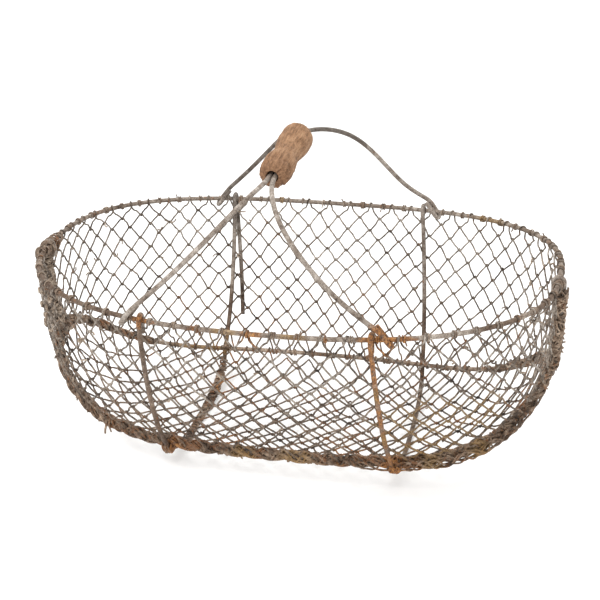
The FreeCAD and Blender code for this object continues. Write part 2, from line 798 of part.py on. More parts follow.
def panel_t(name, along):
    """The angle at a distance along a panel's top edge."""
    angles, lengths = RUNS[name]
    low, high = 0, len(lengths) - 1
    while high - low > 1:
        middle = (low + high) // 2
        if lengths[middle] <= along:
            low = middle
        else:
            high = middle
    share = (along - lengths[low]) / (lengths[high] - lengths[low])
    return angles[low] + (angles[high] - angles[low]) * min(max(share, 0.0), 1.0)


def mesh_angles(name):
    """The angle at the middle of each mesh of a panel."""
    meshes = PANELS[name][2]
    return [panel_t(name, panel_length(name) * (i + 0.5) / meshes) for i in range(meshes)]


def wall_table(t):
    """Distances down the wall, and where the netting's edge must stop above the base hoop."""
    points = [wall_point(t, i / float(DEPTH_STEPS)) for i in range(DEPTH_STEPS + 1)]
    lengths = run_lengths(points)
    hoop, j = hoop_point(t), DEPTH_STEPS
    while points[j].distanceToPoint(hoop) < dim("netting_edge_gap") + HOOP_CLEARANCE:
        j -= 1
    return lengths, lengths[j]


def depth_at(lengths, want):
    """The depth d at a distance down the wall."""
    j = 0
    while j < DEPTH_STEPS - 1 and lengths[j + 1] < want:
        j += 1
    share = (want - lengths[j]) / (lengths[j + 1] - lengths[j])
    return (j + min(max(share, 0.0), 1.0)) / DEPTH_STEPS


def wall_normal(t, d):
    """Outward normal of the wall."""
    around = wall_point(t + PROBE, d) - wall_point(t - PROBE, d)
    down = wall_point(t, min(d + PROBE, 0.999)) - wall_point(t, max(d - PROBE, 1e-4))
    normal = around.cross(down).normalize()
    point = wall_point(t, d)
    if normal.x * point.x + normal.y * point.y < 0:
        normal = normal * -1
    return normal


def lower_edge(name):
    """(distance along the panel, distance down the wall) of the netting's lower limit."""
    edge = []
    for i in range(EDGE_STEPS + 1):
        along = SEAM_GAP + (panel_length(name) - 2 * SEAM_GAP) * i / float(EDGE_STEPS)
        edge.append((along, wall_table(panel_t(name, along))[1]))
    return edge


def wall_row(name, edge, upper, lower):
    """A closed band between two distances down the wall, ended where the hoop comes up."""
    reach = [along for along, low in edge if low > upper + ROW_END_HEIGHT]
    start, end = min(reach), max(reach)
    count = max(MIN_COLUMNS, int(COLUMNS * (end - start) / panel_length(name)))
    outer, inner = [], []
    for i in range(count + 1):
        t = panel_t(name, start + (end - start) * i / count)
        lengths, limit = wall_table(t)
        d_upper = depth_at(lengths, upper)
        d_lower = depth_at(lengths, max(min(lower, limit), upper + MIN_ROW_HEIGHT))
        outer_column, inner_column = [], []
        for j in range(4):
            d = d_upper + (d_lower - d_upper) * j / 3.0
            point, normal = wall_point(t, d), wall_normal(t, d)
            outer_column.append(point + normal * HALF_THICKNESS)
            inner_column.append(point - normal * HALF_THICKNESS)
        outer.append(outer_column)
        inner.append(inner_column)
    return thin_solid(outer, inner)


def hook_gap(side, x_sign, face, y_sign):
    """The block where a handle hook passes through the netting's top row."""
    rim = rim_at(x_sign * dim("handle_%s_reach" % side), y_sign)
    turn = Rotation(Vector(0, 1, 0), rim_normal(rim))
    length, width, height = HOOK_GAP_SIZE
    corner = Vector(-length / 2 + x_sign * y_sign * HOOK_GAP_SHIFT, -width / 2, -HOOK_GAP_BELOW)
    placement = Placement(rim + turn.multVec(corner), turn)
    return box("hook_gap_%s_%s" % (face, side), length, width, height, placement)


def build_wall_netting():
    height, top = dim("netting_row_height"), dim("netting_edge_gap")
    rows = int(dim("netting_wall_rows"))
    for face, y_sign in FACES:
        gaps = fused(
            "hook_gaps_" + face, [hook_gap(side, x_sign, face, y_sign) for side, x_sign in SIDES]
        )
        edge = lower_edge(face)
        for k in range(rows):
            upper = top + height * k + (HALF_ROW_GAP if k else 0.0)
            lower = top + height * (k + 1) - HALF_ROW_GAP
            if k == rows - 1:
                lower += LAST_ROW_EXTRA
            label = "netting_%s_row_%02d" % (face, k + 1)
            add_row(label, wall_row(face, edge, upper, lower), None if k else gaps)


# ---------------------------------------------------------------- bottom netting
INSET_A = HOOP_A - dim("bottom_edge_gap")
INSET_B = HOOP_B - dim("bottom_edge_gap")
BOTTOM_MARGIN = 1.4          # the rows' total width falls this short of the inset oval
SLOPE_STEP = 0.5
NOTCH_SIZE = (11.0, 40.0, 80.0)
NOTCH_START_SHARE = 0.9      # front edge of a notch, as a share of the hoop's y
NOTCH_BASE_Z = -5


def bottom_point(x, y, skin_sign):
    """A point on the bottom's upper (1) or lower (-1) skin."""
    def height(at_x, at_y):
        return bottom_z(at_x, min(abs(at_y) / max(hoop_y(at_x), 1e-3), 1.0))

    slope_x = (height(x + SLOPE_STEP, y) - height(x - SLOPE_STEP, y)) / (2 * SLOPE_STEP)
    slope_y = (height(x, y + SLOPE_STEP) - height(x, y - SLOPE_STEP)) / (2 * SLOPE_STEP)
    normal = Vector(-slope_x, -slope_y, 1).normalize()
    return Vector(x, y, height(x, y)) + normal * (HALF_THICKNESS * skin_sign)


def bottom_row(y_start, y_end):
    upper, lower = [], []
    for i in range(41):
        share = math.sin(math.pi * (i / 40.0 - 0.5))
        places = []
        for j in range(5):
            y = y_start + (y_end - y_start) * j / 4.0
            reach = INSET_A * (1 - (abs(y) / INSET_B) ** HOOP_N) ** (1 / HOOP_N)
            places.append((share * reach, y))
        upper.append([bottom_point(x, y, 1) for x, y in places])
        lower.append([bottom_point(x, y, -1) for x, y in places])
    return thin_solid(upper, lower)


def rib_notches():
    """Where each rib threads through the last row, just inside the back of the base hoop."""
    blocks = []
    for side, x_sign in SIDES:
        foot = dim("rib_%s_foot" % side)
        corner = Vector(
            x_sign * foot - NOTCH_SIZE[0] / 2, hoop_y(foot) * NOTCH_START_SHARE, NOTCH_BASE_Z
        )
        blocks.append(box("notch_" + side, *NOTCH_SIZE, Placement(corner, Rotation())))
    return fused("notches", blocks)


def build_bottom_netting():
    notches = rib_notches()
    rows = int(dim("netting_bottom_rows"))
    span = 2 * INSET_B - BOTTOM_MARGIN
    for k in range(rows):
        strip = bottom_row(
            -span / 2 + span * k / rows + HALF_ROW_GAP,
            -span / 2 + span * (k + 1) / rows - HALF_ROW_GAP,
        )
        add_row("netting_bottom_row_%02d" % (k + 1), strip, notches if k == rows - 1 else None)


# ---------------------------------------------------------------- lacing
WIRE_HOOK_CLEARANCE = 6.0     # no lacing loop this close to a rib or strut hook on the rim
HANDLE_HOOK_CLEARANCE = 9.0
HOOP_LOOP_CLEARANCE = 8.5     # nor this close to a crossing on the base hoop
BARE_LOOP_MARGIN = 4          # loops stop this far inside the bare stretch
FINE_POINTS = 2880
FINE_SPACING = 0.446          # nominal distance between the fine hoop points
SLEEVE_SPACING = 14           # nominal distance between a sleeve's path points
SLEEVE_MIN_STEPS = 6
SLEEVE_MERGE = 4              # a last path point this close to the end moves onto it


def lacing_loop(point_at, t, wire_alias):
    """A ring of lacing wire round the rim or the base hoop."""
    tangent = (point_at(t + PROBE) - point_at(t - PROBE)).normalize()
    wire = dim("lacing_wire_radius")
    return Part.makeTorus(dim(wire_alias) + wire + dim("lacing_gap"), wire, point_at(t), tangent)


def build_rim_lacing():
    """A loop at each mesh, except beside the hooks on the rim."""
    hooks = [(rim_point(t), WIRE_HOOK_CLEARANCE) for t in STRUT_ANGLES.values()]
    for side, x_sign in SIDES:
        for _, y_sign in FACES:
            rib = rim_at(x_sign * dim("rib_%s_top" % side), y_sign)
            handle = rim_at(x_sign * dim("handle_%s_reach" % side), y_sign)
            hooks += [(rib, WIRE_HOOK_CLEARANCE), (handle, HANDLE_HOOK_CLEARANCE)]
    loops = []
    for name in PANELS:
        for t in mesh_angles(name):
            point = rim_point(t)
            if all(point.distanceToPoint(hook) >= clearance for hook, clearance in hooks):
                loops.append(lacing_loop(rim_point, t, "rim_wire_radius"))
    piece("rim_lacing", fixed_shape("rim_lacing", Part.makeCompound(loops)))


def near_any(point, places, clearance):
    return any(point.distanceToPoint(place) < clearance for place in places)


def sleeve_runs(crossings):
    """Stretches of the base hoop between crossings, leaving out the bare middle of the back."""
    bare, end_gap = dim("hoop_bare_half"), dim("sleeve_end_gap")
    hoop = oval(hoop_point, FINE_POINTS)
    wrapped = [
        not near_any(point, crossings, end_gap) and not (point.y > 0 and abs(point.x) < bare)
        for point in hoop
    ]
    # start where a stretch begins, so that none is split over the list's end
    first = next(i for i in range(FINE_POINTS) if wrapped[i] and not wrapped[i - 1])
    runs, run = [], []
    for k in range(FINE_POINTS):
        i = (first + k) % FINE_POINTS
        if wrapped[i]:
            run.append(hoop[i])
        elif run:
            runs.append(run)
            run = []
    return runs


def hoop_sleeve(run):
    steps = max(SLEEVE_MIN_STEPS, int(len(run) * FINE_SPACING / SLEEVE_SPACING))
    points = run[::max(1, len(run) // steps)]
    if points[-1].distanceToPoint(run[-1]) < SLEEVE_MERGE:
        points[-1] = run[-1]
    else:
        points.append(run[-1])
    return sleeve(path_wire(points), "sleeve")


def build_base_lacing():
    """The netting's lower edge wrapped round the base hoop, with loops on the bare stretch."""
    crossings = [hoop_point(t) for t in STRUT_ANGLES.values()]
    for side, x_sign in SIDES:
        for _, y_sign in FACES:
            crossings.append(hoop_at(x_sign * dim("rib_%s_foot" % side), y_sign))
    solids = [hoop_sleeve(run) for run in sleeve_runs(crossings)]
    loop_limit = dim("hoop_bare_half") - BARE_LOOP_MARGIN
    for t in mesh_angles("back"):
        point = hoop_point(t)
        if abs(point.x) <= loop_limit and not near_any(point, crossings, HOOP_LOOP_CLEARANCE):
            solids.append(lacing_loop(hoop_point, t, "hoop_wire_radius"))
    piece("base_lacing", fixed_shape("base_lacing", Part.makeCompound(solids)))


def build_seam_lacing():
    """The netting's ends wound round each end strut: a sleeve down the wall."""
    for side, _ in SIDES:
        label = "seam_lacing_" + side
        path = path_wire(strut_points(side), False, STRUT_WALL_PART)
        piece(label, fixed_shape(label, sleeve(path, "seam")))


# ---------------------------------------------------------------- ties
def tie_loop(at_rib, at_hoop, along_hoop, along_rib):
    """A thin wire loop round two crossing wires, set diagonally between them."""
    middle = (at_rib + at_hoop) * 0.5
    line = (at_rib - at_hoop).normalize()
    along_hoop = (along_hoop - line * along_hoop.dot(line)).normalize()
    along_rib = (along_rib - line * along_rib.dot(line)).normalize()
    radius = dim("tie_loop_radius")
    side = (along_hoop + along_rib).normalize() * radius
    half_gap = at_rib.distanceToPoint(at_hoop) / 2
    rib_end, hoop_end = middle + line * half_gap, middle - line * half_gap
    edges = [
        Part.LineSegment(rib_end + side, hoop_end + side).toShape(),
        Part.Arc(hoop_end + side, hoop_end - line * radius, hoop_end - side).toShape(),
        Part.LineSegment(hoop_end - side, rib_end - side).toShape(),
        Part.Arc(rib_end - side, rib_end + line * radius, rib_end + side).toShape(),
    ]
    spine = Part.Wire(Part.__sortEdges__(edges))
    return pipe(spine, dim("tie_wire_radius"), rib_end + side, line)


def direction_at(path, point):
    """The direction of a path at a point on it."""
    edge = min(path.Edges, key=lambda e: e.distToShape(Part.Vertex(point))[0])
    return Vector(*edge.Curve.tangent(edge.Curve.parameter(point))[0])


def build_rib_ties():
    """A loop ties each rib to the base hoop where they cross."""
    ties = []
    for side, _ in SIDES:
        rib = doc.getObject("rib_%s_path" % side).Shape
        for face, _ in FACES:
            hoop = doc.getObject("base_hoop_%s_path" % face).Shape
            on_rib, on_hoop = rib.distToShape(hoop)[1][0]
            along_hoop, along_rib = direction_at(hoop, on_hoop), direction_at(rib, on_rib)
            ties.append(tie_loop(on_rib, on_hoop, along_hoop, along_rib))
    piece("rib_hoop_ties", fixed_shape("rib_hoop_ties", Part.makeCompound(ties)))


# ---------------------------------------------------------------- build, check and write
build_rim()
build_base_hoop()
build_ribs()
build_end_struts()
build_grip()
build_handle_wires()
build_wall_netting()
build_bottom_netting()
build_rim_lacing()
build_base_lacing()
build_seam_lacing()
build_rib_ties()
doc.recompute()

bad = []
for obj in doc.Objects:
    if "Invalid" in obj.State or "Error" in obj.State:
        bad.append("%s: %s" % (obj.Name, obj.State))
for label, obj in nodes.items():
    shape = obj.Shape
    if shape.isNull() or not shape.isValid() or not shape.Solids:
        bad.append("%s: null, invalid or no solid" % label)
    elif any(solid.Volume <= 0 for solid in shape.Solids):
        bad.append("%s: a solid with no volume" % label)
if bad:
    raise RuntimeError("; ".join(bad))
for label, obj in nodes.items():
    obj.Shape.exportStep("parts/%s.step" % label)
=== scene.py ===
"""A long oval basket of wire netting on heavy wire, with a wooden grip on its handle.

It is long along X, its front faces -Y and its left end is at -X. It stands on z = 0: the base
hoop lies near z = 30, the rim near z = 181 and the grip, which runs along Y, near z = 289.
Sizes are in mm unless a line says otherwise; meshes are scaled to metres as they are made.
"""
import math

import bpy
import numpy as np
from mathutils import Matrix, Vector
from mathutils import noise as mnoise


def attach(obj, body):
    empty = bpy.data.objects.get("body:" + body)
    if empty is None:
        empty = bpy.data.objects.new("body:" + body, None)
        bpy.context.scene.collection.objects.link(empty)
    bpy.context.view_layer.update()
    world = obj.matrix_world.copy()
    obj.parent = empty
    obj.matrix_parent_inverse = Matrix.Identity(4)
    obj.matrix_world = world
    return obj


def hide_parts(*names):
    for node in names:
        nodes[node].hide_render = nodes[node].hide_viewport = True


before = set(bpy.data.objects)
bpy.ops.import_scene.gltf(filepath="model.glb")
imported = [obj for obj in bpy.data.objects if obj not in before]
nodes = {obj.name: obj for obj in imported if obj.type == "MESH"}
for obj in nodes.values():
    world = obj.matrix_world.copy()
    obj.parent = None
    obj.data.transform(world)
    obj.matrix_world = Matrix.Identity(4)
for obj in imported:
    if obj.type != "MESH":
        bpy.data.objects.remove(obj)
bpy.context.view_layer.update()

MM = 0.001
TURN = 2 * math.pi
UP = np.array([0.0, 0.0, 1.0])

# ------------------------------------------------------------------ sizes
# rim and base hoop: half length, half width and power of each oval
RIM_X, RIM_Y, RIM_POWER = 250.0, 184.0, 2.56
HOOP_X, HOOP_Y, HOOP_POWER = 245.0, 117.8, 2.46
# height at the middle, and how far and how sharply each end rises
RIM_Z, RIM_RISE = 181.0, 6.4
HOOP_Z, HOOP_RISE, HOOP_RISE_POWER = 30.4, 62.8, 5.6
FLOOR_Z, FLOOR_RISE_POWER, FLOOR_EDGE_POWER = 6.6, 5.5, 3.2
STRUT_Y = 22.0          # the end struts stand this far in front of the X axis
STRUT_TURN = -math.asin((STRUT_Y / RIM_Y) ** (RIM_POWER / 2))
HOOP_WIRE_R = 2.3
BESIDE_HEAVY = 4.85     # from one heavy wire's axis to that of another laid against it

WIRE_R = 0.88           # netting wire
LIFT = 0.93             # how far netting wires pass in front of and behind the net's surface
BAR_R = 3.05            # netting wire's path round the base hoop
RIM_BAR_R = 3.02
ROWS = 13               # wall netting
FIRST_LEVEL, LEVEL_STEP = 1.9, 11.9
LEAST_ROOM = 7.5        # bends nearer the base hoop than this don't link
FLOOR_ROWS = 17
FLOOR_SPAN = 2 * (HOOP_Y - 7.0) - 1.4
FLOOR_PITCH = 23.0
FLOOR_INSET = 8.0


# ------------------------------------------------------------------ vectors and curves
def unit(v):
    return v / np.maximum(np.linalg.norm(v, axis=-1, keepdims=True), 1e-9)


def square_to(v, axis):
    """Unit vector nearest v at right angles to axis."""
    return unit(v - axis * (v * axis).sum(-1, keepdims=True))


def ellipse(angle, right, up, wide, tall=None):
    """Offset wide along right at angle 0, and tall along up at a quarter turn."""
    tall = wide if tall is None else tall
    return right * (wide * np.cos(angle))[..., None] + up * (tall * np.sin(angle))[..., None]


def framed(place, rows):
    """Points from rows of (along, down, out) in a place = (origin, along, down, out)."""
    origin, *axes = place
    return list(origin + np.asarray(rows) @ np.array(axes))


def arc_length(points):
    steps = np.linalg.norm(np.diff(points, axis=-2), axis=-1)
    return np.insert(np.cumsum(steps, axis=-1), 0, 0.0, axis=-1)


def points_at(s, stations, points):
    return np.stack([np.interp(s, stations, points[:, k]) for k in range(3)], 1)


def push_out(points, axis, least):
    """Moves points that are nearer than least to their axis points out to that distance."""
    away = points - axis
    distance = np.linalg.norm(away, axis=1, keepdims=True)
    return axis + away * np.maximum(1.0, least / np.maximum(distance, 1e-6))


def smoothed(r, count, window):
    """Random values averaged over a sliding window."""
    return np.convolve(r.normal(0, 1, count + window - 1), np.ones(window) / window, "valid")


def wander(length, size, seed):
    """A slow sideways wander along a length, as a function."""
    r = np.random.default_rng(seed)
    waves = r.uniform(0.5, 3.5, 5)
    phases = r.uniform(0, TURN, 5)
    sizes = r.normal(0, 1, 5)
    sizes *= size / np.sqrt((sizes ** 2).sum())
    return lambda s: sum(
        a * np.sin(TURN * k * s / length + p) for a, k, p in zip(sizes, waves, phases))


def spline(points, per=6):
    """Smooth run through points, with per samples from each to the next."""
    p = np.asarray(points, float)
    p = np.concatenate([[2 * p[0] - p[1]], p, [2 * p[-1] - p[-2]]])
    u = np.linspace(0, 1, per, endpoint=False)[:, None]
    run = []
    for a, b, c, d in zip(p, p[1:], p[2:], p[3:]):
        run.append(0.5 * (2 * b + (c - a) * u + (2 * a - 5 * b + 4 * c - d) * u ** 2
                          + (3 * b - a - 3 * c + d) * u ** 3))
    run.append(p[-2:-1])
    return np.concatenate(run)


def round_bar(place, start, stop, count, slip, radius=BAR_R):
    """Points round a bar that lies along: 0 degrees is out, 90 is up. They slip along the bar."""
    origin, along, down, out = place
    f = np.linspace(0, 1, count + 1)
    angle = np.radians(start + (stop - start) * f)
    return list(origin + ellipse(angle, out, -down, radius) + along * (slip * (f - 0.5))[:, None])


# ------------------------------------------------------------------ the basket's surface
def oval(turn, half_x, half_y, power):
    c, s = np.cos(turn), np.sin(turn)
    return (half_x * np.sign(c) * np.abs(c) ** (2 / power),
            half_y * np.sign(s) * np.abs(s) ** (2 / power))


def rim_point(turn):
    x, y = oval(turn, RIM_X, RIM_Y, RIM_POWER)
    return np.stack([x, y, RIM_Z + RIM_RISE * (np.abs(x) / RIM_X) ** 2], -1)


def endness(x):
    """0 at the middle of the base hoop's length, 1 at its ends."""
    return np.minimum(np.abs(x), HOOP_X) / HOOP_X


def hoop_z(x):
    return HOOP_Z + HOOP_RISE * endness(x) ** HOOP_RISE_POWER


def hoop_y(x):
    return HOOP_Y * np.maximum(1 - endness(x) ** HOOP_POWER, 0) ** (1 / HOOP_POWER)


def hoop_point(turn):
    x, y = oval(turn, HOOP_X, HOOP_Y, HOOP_POWER)
    return np.stack([x, y, hoop_z(x)], -1)


def rim_share(down):
    """The wall's place between hoop (0) and rim (1) in plan, at a fraction down the wall."""
    reach, inner, outer = 0.81, 1.48, 2.89

    def arch(d):
        return (1 - (reach * d) ** inner) ** (1 / outer)

    return (arch(np.clip(down, 0, 1)) - arch(1.0)) / (1 - arch(1.0))


def wall_point(turn, down):
    rim, hoop = rim_point(turn), hoop_point(turn)
    down = np.asarray(down, float)
    point = hoop + (rim - hoop) * rim_share(down)[..., None]
    point[..., 2] = hoop[..., 2] + (rim[..., 2] - hoop[..., 2]) * (1 - down)
    return point


def floor_z(x, y):
    middle = FLOOR_Z + (HOOP_Z + HOOP_RISE - FLOOR_Z) * endness(x) ** FLOOR_RISE_POWER
    edge = hoop_z(x)
    across = np.clip(np.abs(y) / np.maximum(hoop_y(x), 1e-3), 0, 1)
    rise = np.maximum(edge - middle, 0) * across ** FLOOR_EDGE_POWER
    return float(np.minimum(middle, edge) + rise)


class Panel:
    """One wall panel: along = mm along the rim from its first seam, down = mm down the wall."""

    def __init__(self, name, start, stop, meshes, seed):
        self.name, self.meshes, self.seed = name, meshes, seed
        self.turn = np.linspace(start, stop, 1201)
        self.along = arc_length(rim_point(self.turn))
        self.length = self.along[-1]
        self.fraction = np.linspace(0, 1, 121)
        self.depth = arc_length(wall_point(self.turn[:, None], self.fraction[None, :]))
        self.levels = self.joint_levels()

    def turn_at(self, along):
        return np.interp(along, self.along, self.turn)

    def low(self, along):
        """Depth of the wall's lower edge."""
        return np.interp(along, self.along, self.depth[:, -1])

    def at(self, along, down):
        """Point and outward normal."""
        turn = self.turn_at(along)
        i = int(np.clip(np.searchsorted(self.along, along) - 1, 0, len(self.along) - 2))
        f = (along - self.along[i]) / (self.along[i + 1] - self.along[i])
        depth = self.depth[i] * (1 - f) + self.depth[i + 1] * f
        d = np.interp(down, depth, self.fraction)
        point = wall_point(turn, d)
        e = 2e-3
        sideways = wall_point(turn + e, d) - wall_point(turn - e, d)
        fall = wall_point(turn, min(d + e, 1)) - wall_point(turn, max(d - e, 0))
        normal = unit(np.cross(sideways, fall))
        return point, (-normal if normal[:2].dot(point[:2]) < 0 else normal)

    def place(self, along, down):
        step = 0.5
        point, out = self.at(along, down)
        beside = self.at(along + step, down)[0]
        fall = point - self.at(along, down - step)[0] if down > step else -UP
        return point, unit(beside - point), unit(fall), out

    def hoop_place(self, along):
        """Place on the base hoop's axis under a point of the rim."""
        turn = self.turn_at(along)
        ahead, hoop, behind = hoop_point(np.array([turn + 2e-3, turn, turn - 2e-3]))
        tangent = unit(ahead - behind)
        point, normal = self.at(along, self.low(along) - 4.0)
        down = square_to(hoop - point, tangent)
        out = np.cross(tangent, down)
        return hoop, tangent, down, (out if out.dot(normal) >= 0 else -out)

    def joint_levels(self):
        """The netting's linking points, as (along, down) arrays; level 0 is on the rim."""
        r = np.random.default_rng(self.seed)
        drift = wander(self.length, 1.3, self.seed + 50)
        levels = []
        for level in range(ROWS + 1):
            if level % 2:
                even = np.arange(self.meshes + 1) * (self.length / self.meshes)
            else:
                even = (np.arange(self.meshes) + 0.5) * (self.length / self.meshes)
            count = len(even)
            free = np.ones(count)
            if level % 2:
                free[[0, -1]] = 0    # joints on the seams stay put
            sag = wander(self.length, 1.0, self.seed + level)
            along = even + r.normal(0, 0.75, count) * free + drift(even + 14.0 * level) * free
            drop = r.normal(0, 0.7, count)
            # the netting is untidy near the left end, and at the back near the right end too
            if self.name == "front":
                mess = 1.6
                untidy = np.clip((200 - even) / 120, 0, 1) * (0.35 + 0.65 * min(1.0, level / 4))
            else:
                mess = 1.7
                untidy = np.maximum(np.clip((75 - even) / 65, 0, 1),
                                    0.7 * np.clip((even - self.length + 110) / 90, 0, 1))
                along -= 7.3 * np.minimum(1.0, 1.7 * np.sin(math.pi * even / self.length))
            along += r.normal(0, mess, count) * untidy * free
            drop += r.normal(0, 1.5, count) * untidy
            down = FIRST_LEVEL + LEVEL_STEP * level + (drop + sag(even)) * (level > 0)
            levels.append((np.clip(along, 1.0, self.length - 1.0), down))
        return levels

    def joint(self, level, i):
        along, down = self.levels[level]
        return along[i], down[i]


# ------------------------------------------------------------------ meshes
def smooth_object(name, mesh_name, verts, faces, material):
    """Smooth-shaded object from points in metres."""
    mesh = bpy.data.meshes.new(mesh_name)
    mesh.from_pydata(verts, [], faces)
    mesh.update()
    mesh.polygons.foreach_set("use_smooth", [True] * len(mesh.polygons))
    made = bpy.data.objects.new(name, mesh)
    bpy.context.scene.collection.objects.link(made)
    mesh.materials.append(material)
    return made


def side_axes(points):
    """Two axes across a run of points, carried along it without turning."""
    tangent = unit(np.gradient(points, axis=0))
    side = np.zeros_like(points)
    start = UP if abs(tangent[0, 2]) < 0.9 else np.array([1.0, 0, 0])
    side[0] = square_to(start, tangent[0])
    for i in range(1, len(points)):
        side[i] = square_to(side[i - 1], tangent[i])
    return side, np.cross(tangent, side)


class Builder:
    """Collects tubes and other parts into one mesh."""

    def __init__(self):
        self.verts, self.faces, self.count = [], [], 0

    def add(self, verts, faces):
        self.verts.append(verts)
        self.faces += [tuple(i + self.count for i in face) for face in faces]
        self.count += len(verts)

    def tube(self, points, radius, sides=7):
        points = np.asarray(points, float)
        count = len(points)
        radius = np.broadcast_to(np.asarray(radius, float), (count,))
        side, other = side_axes(points)
        angle = np.linspace(0, TURN, sides, endpoint=False)[None, :]
        ring = ellipse(angle, side[:, None, :], other[:, None, :], radius[:, None])
        faces = []
        for i in range(count - 1):
            here, ahead = i * sides, (i + 1) * sides
            for j in range(sides):
                k = (j + 1) % sides
                faces.append((here + j, here + k, ahead + k, ahead + j))
        faces.append(tuple(reversed(range(sides))))
        faces.append(tuple((count - 1) * sides + j for j in range(sides)))
        self.add((points[:, None, :] + ring).reshape(-1, 3), faces)

    def finish(self, name, material, replaces=None, slot="netting_wire", body="basket"):
        verts = np.concatenate(self.verts) * MM
        made = smooth_object(name, name, verts.tolist(), self.faces, material)
        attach(made, body)
        if replaces:
            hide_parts(replaces)


# ------------------------------------------------------------------ materials
class Shader:
    """A material with one Principled node; textures are laid out by self.vector."""

    def __init__(self, name):
        self.material = bpy.data.materials.new(name)
        self.material.use_nodes = True
        self.tree = self.material.node_tree
        self.tree.nodes.clear()
        output = self.node("OutputMaterial")
        self.bsdf = self.node("BsdfPrincipled")
        self.link(self.bsdf.outputs[0], output.inputs[0])
        self.vector = self.node("TexCoord").outputs["Object"]

    def node(self, kind):
        return self.tree.nodes.new("ShaderNode" + kind)

    def link(self, output, socket):
        self.tree.links.new(output, socket)

    def feed(self, socket, value):
        if isinstance(value, bpy.types.NodeSocket):
            self.link(value, socket)
        else:
            socket.default_value = (*value, 1) if isinstance(value, tuple) else value

    def calc(self, operation, a, b, clamp=False):
        node = self.node("Math")
        node.operation = operation
        node.use_clamp = clamp
        self.feed(node.inputs[0], a)
        self.feed(node.inputs[1], b)
        return node.outputs[0]

    def blend(self, a, a_share, b, b_share):
        return self.calc("ADD", self.calc("MULTIPLY", a, a_share),
                         self.calc("MULTIPLY", b, b_share))

    def mix(self, factor, a, b, kind="MIX"):
        node = self.node("Mix")
        node.data_type = "RGBA"
        node.blend_type = kind
        for index, value in ((0, factor), (6, a), (7, b)):
            self.feed(node.inputs[index], value)
        return node.outputs[2]

    def mapping(self):
        node = self.node("Mapping")
        self.link(self.vector, node.inputs["Vector"])
        return node

    def noise(self, scale, detail=4.0, rough=0.55, stretch=None, offset=(0, 0, 0)):
        mapping = self.mapping()
        mapping.inputs["Location"].default_value = offset
        if stretch:
            mapping.inputs["Scale"].default_value = stretch
        node = self.node("TexNoise")
        node.inputs["Scale"].default_value = scale
        node.inputs["Detail"].default_value = detail
        node.inputs["Roughness"].default_value = rough
        self.link(mapping.outputs[0], node.inputs["Vector"])
        return node.outputs["Fac"]

    def ramp(self, factor, stops):
        """Colour ramp; a stop is (position, grey) or (position, (red, green, blue))."""
        node = self.node("ValToRGB")
        elements = node.color_ramp.elements
        while len(elements) < len(stops):
            elements.new(0.5)
        for element, (position, colour) in zip(elements, stops):
            element.position = position
            element.color = (*(colour if isinstance(colour, tuple) else (colour,) * 3), 1)
        self.link(factor, node.inputs[0])
        return node.outputs[0]

    def separate(self):
        node = self.node("SeparateXYZ")
        self.link(self.vector, node.inputs[0])
        return node.outputs

    def near(self, spots, jitter):
        """1 inside any of the round spots (x, y, z, radius), 0 outside, with a ragged edge."""
        total = None
        for x, y, z, radius in spots:
            distance = self.node("VectorMath")
            distance.operation = "DISTANCE"
            self.link(self.vector, distance.inputs[0])
            distance.inputs[1].default_value = (x * MM, y * MM, z * MM)
            far = self.calc("DIVIDE", distance.outputs["Value"], radius * MM)
            rag = self.calc("MULTIPLY", self.calc("SUBTRACT", jitter, 0.5), 1.1)
            one = self.calc("SUBTRACT", 1.15, self.calc("ADD", far, rag), clamp=True)
            one = self.calc("MULTIPLY", one, 2.2, clamp=True)
            total = one if total is None else self.calc("MAXIMUM", total, one)
        return total

    def bump(self, height, strength, distance):
        node = self.node("Bump")
        node.inputs["Strength"].default_value = strength
        node.inputs["Distance"].default_value = distance
        self.link(height, node.inputs["Height"])
        self.link(node.outputs[0], self.bsdf.inputs["Normal"])

    def surface(self, colour, roughness):
        self.link(colour, self.bsdf.inputs["Base Color"])
        self.bsdf.inputs["Roughness"].default_value = roughness


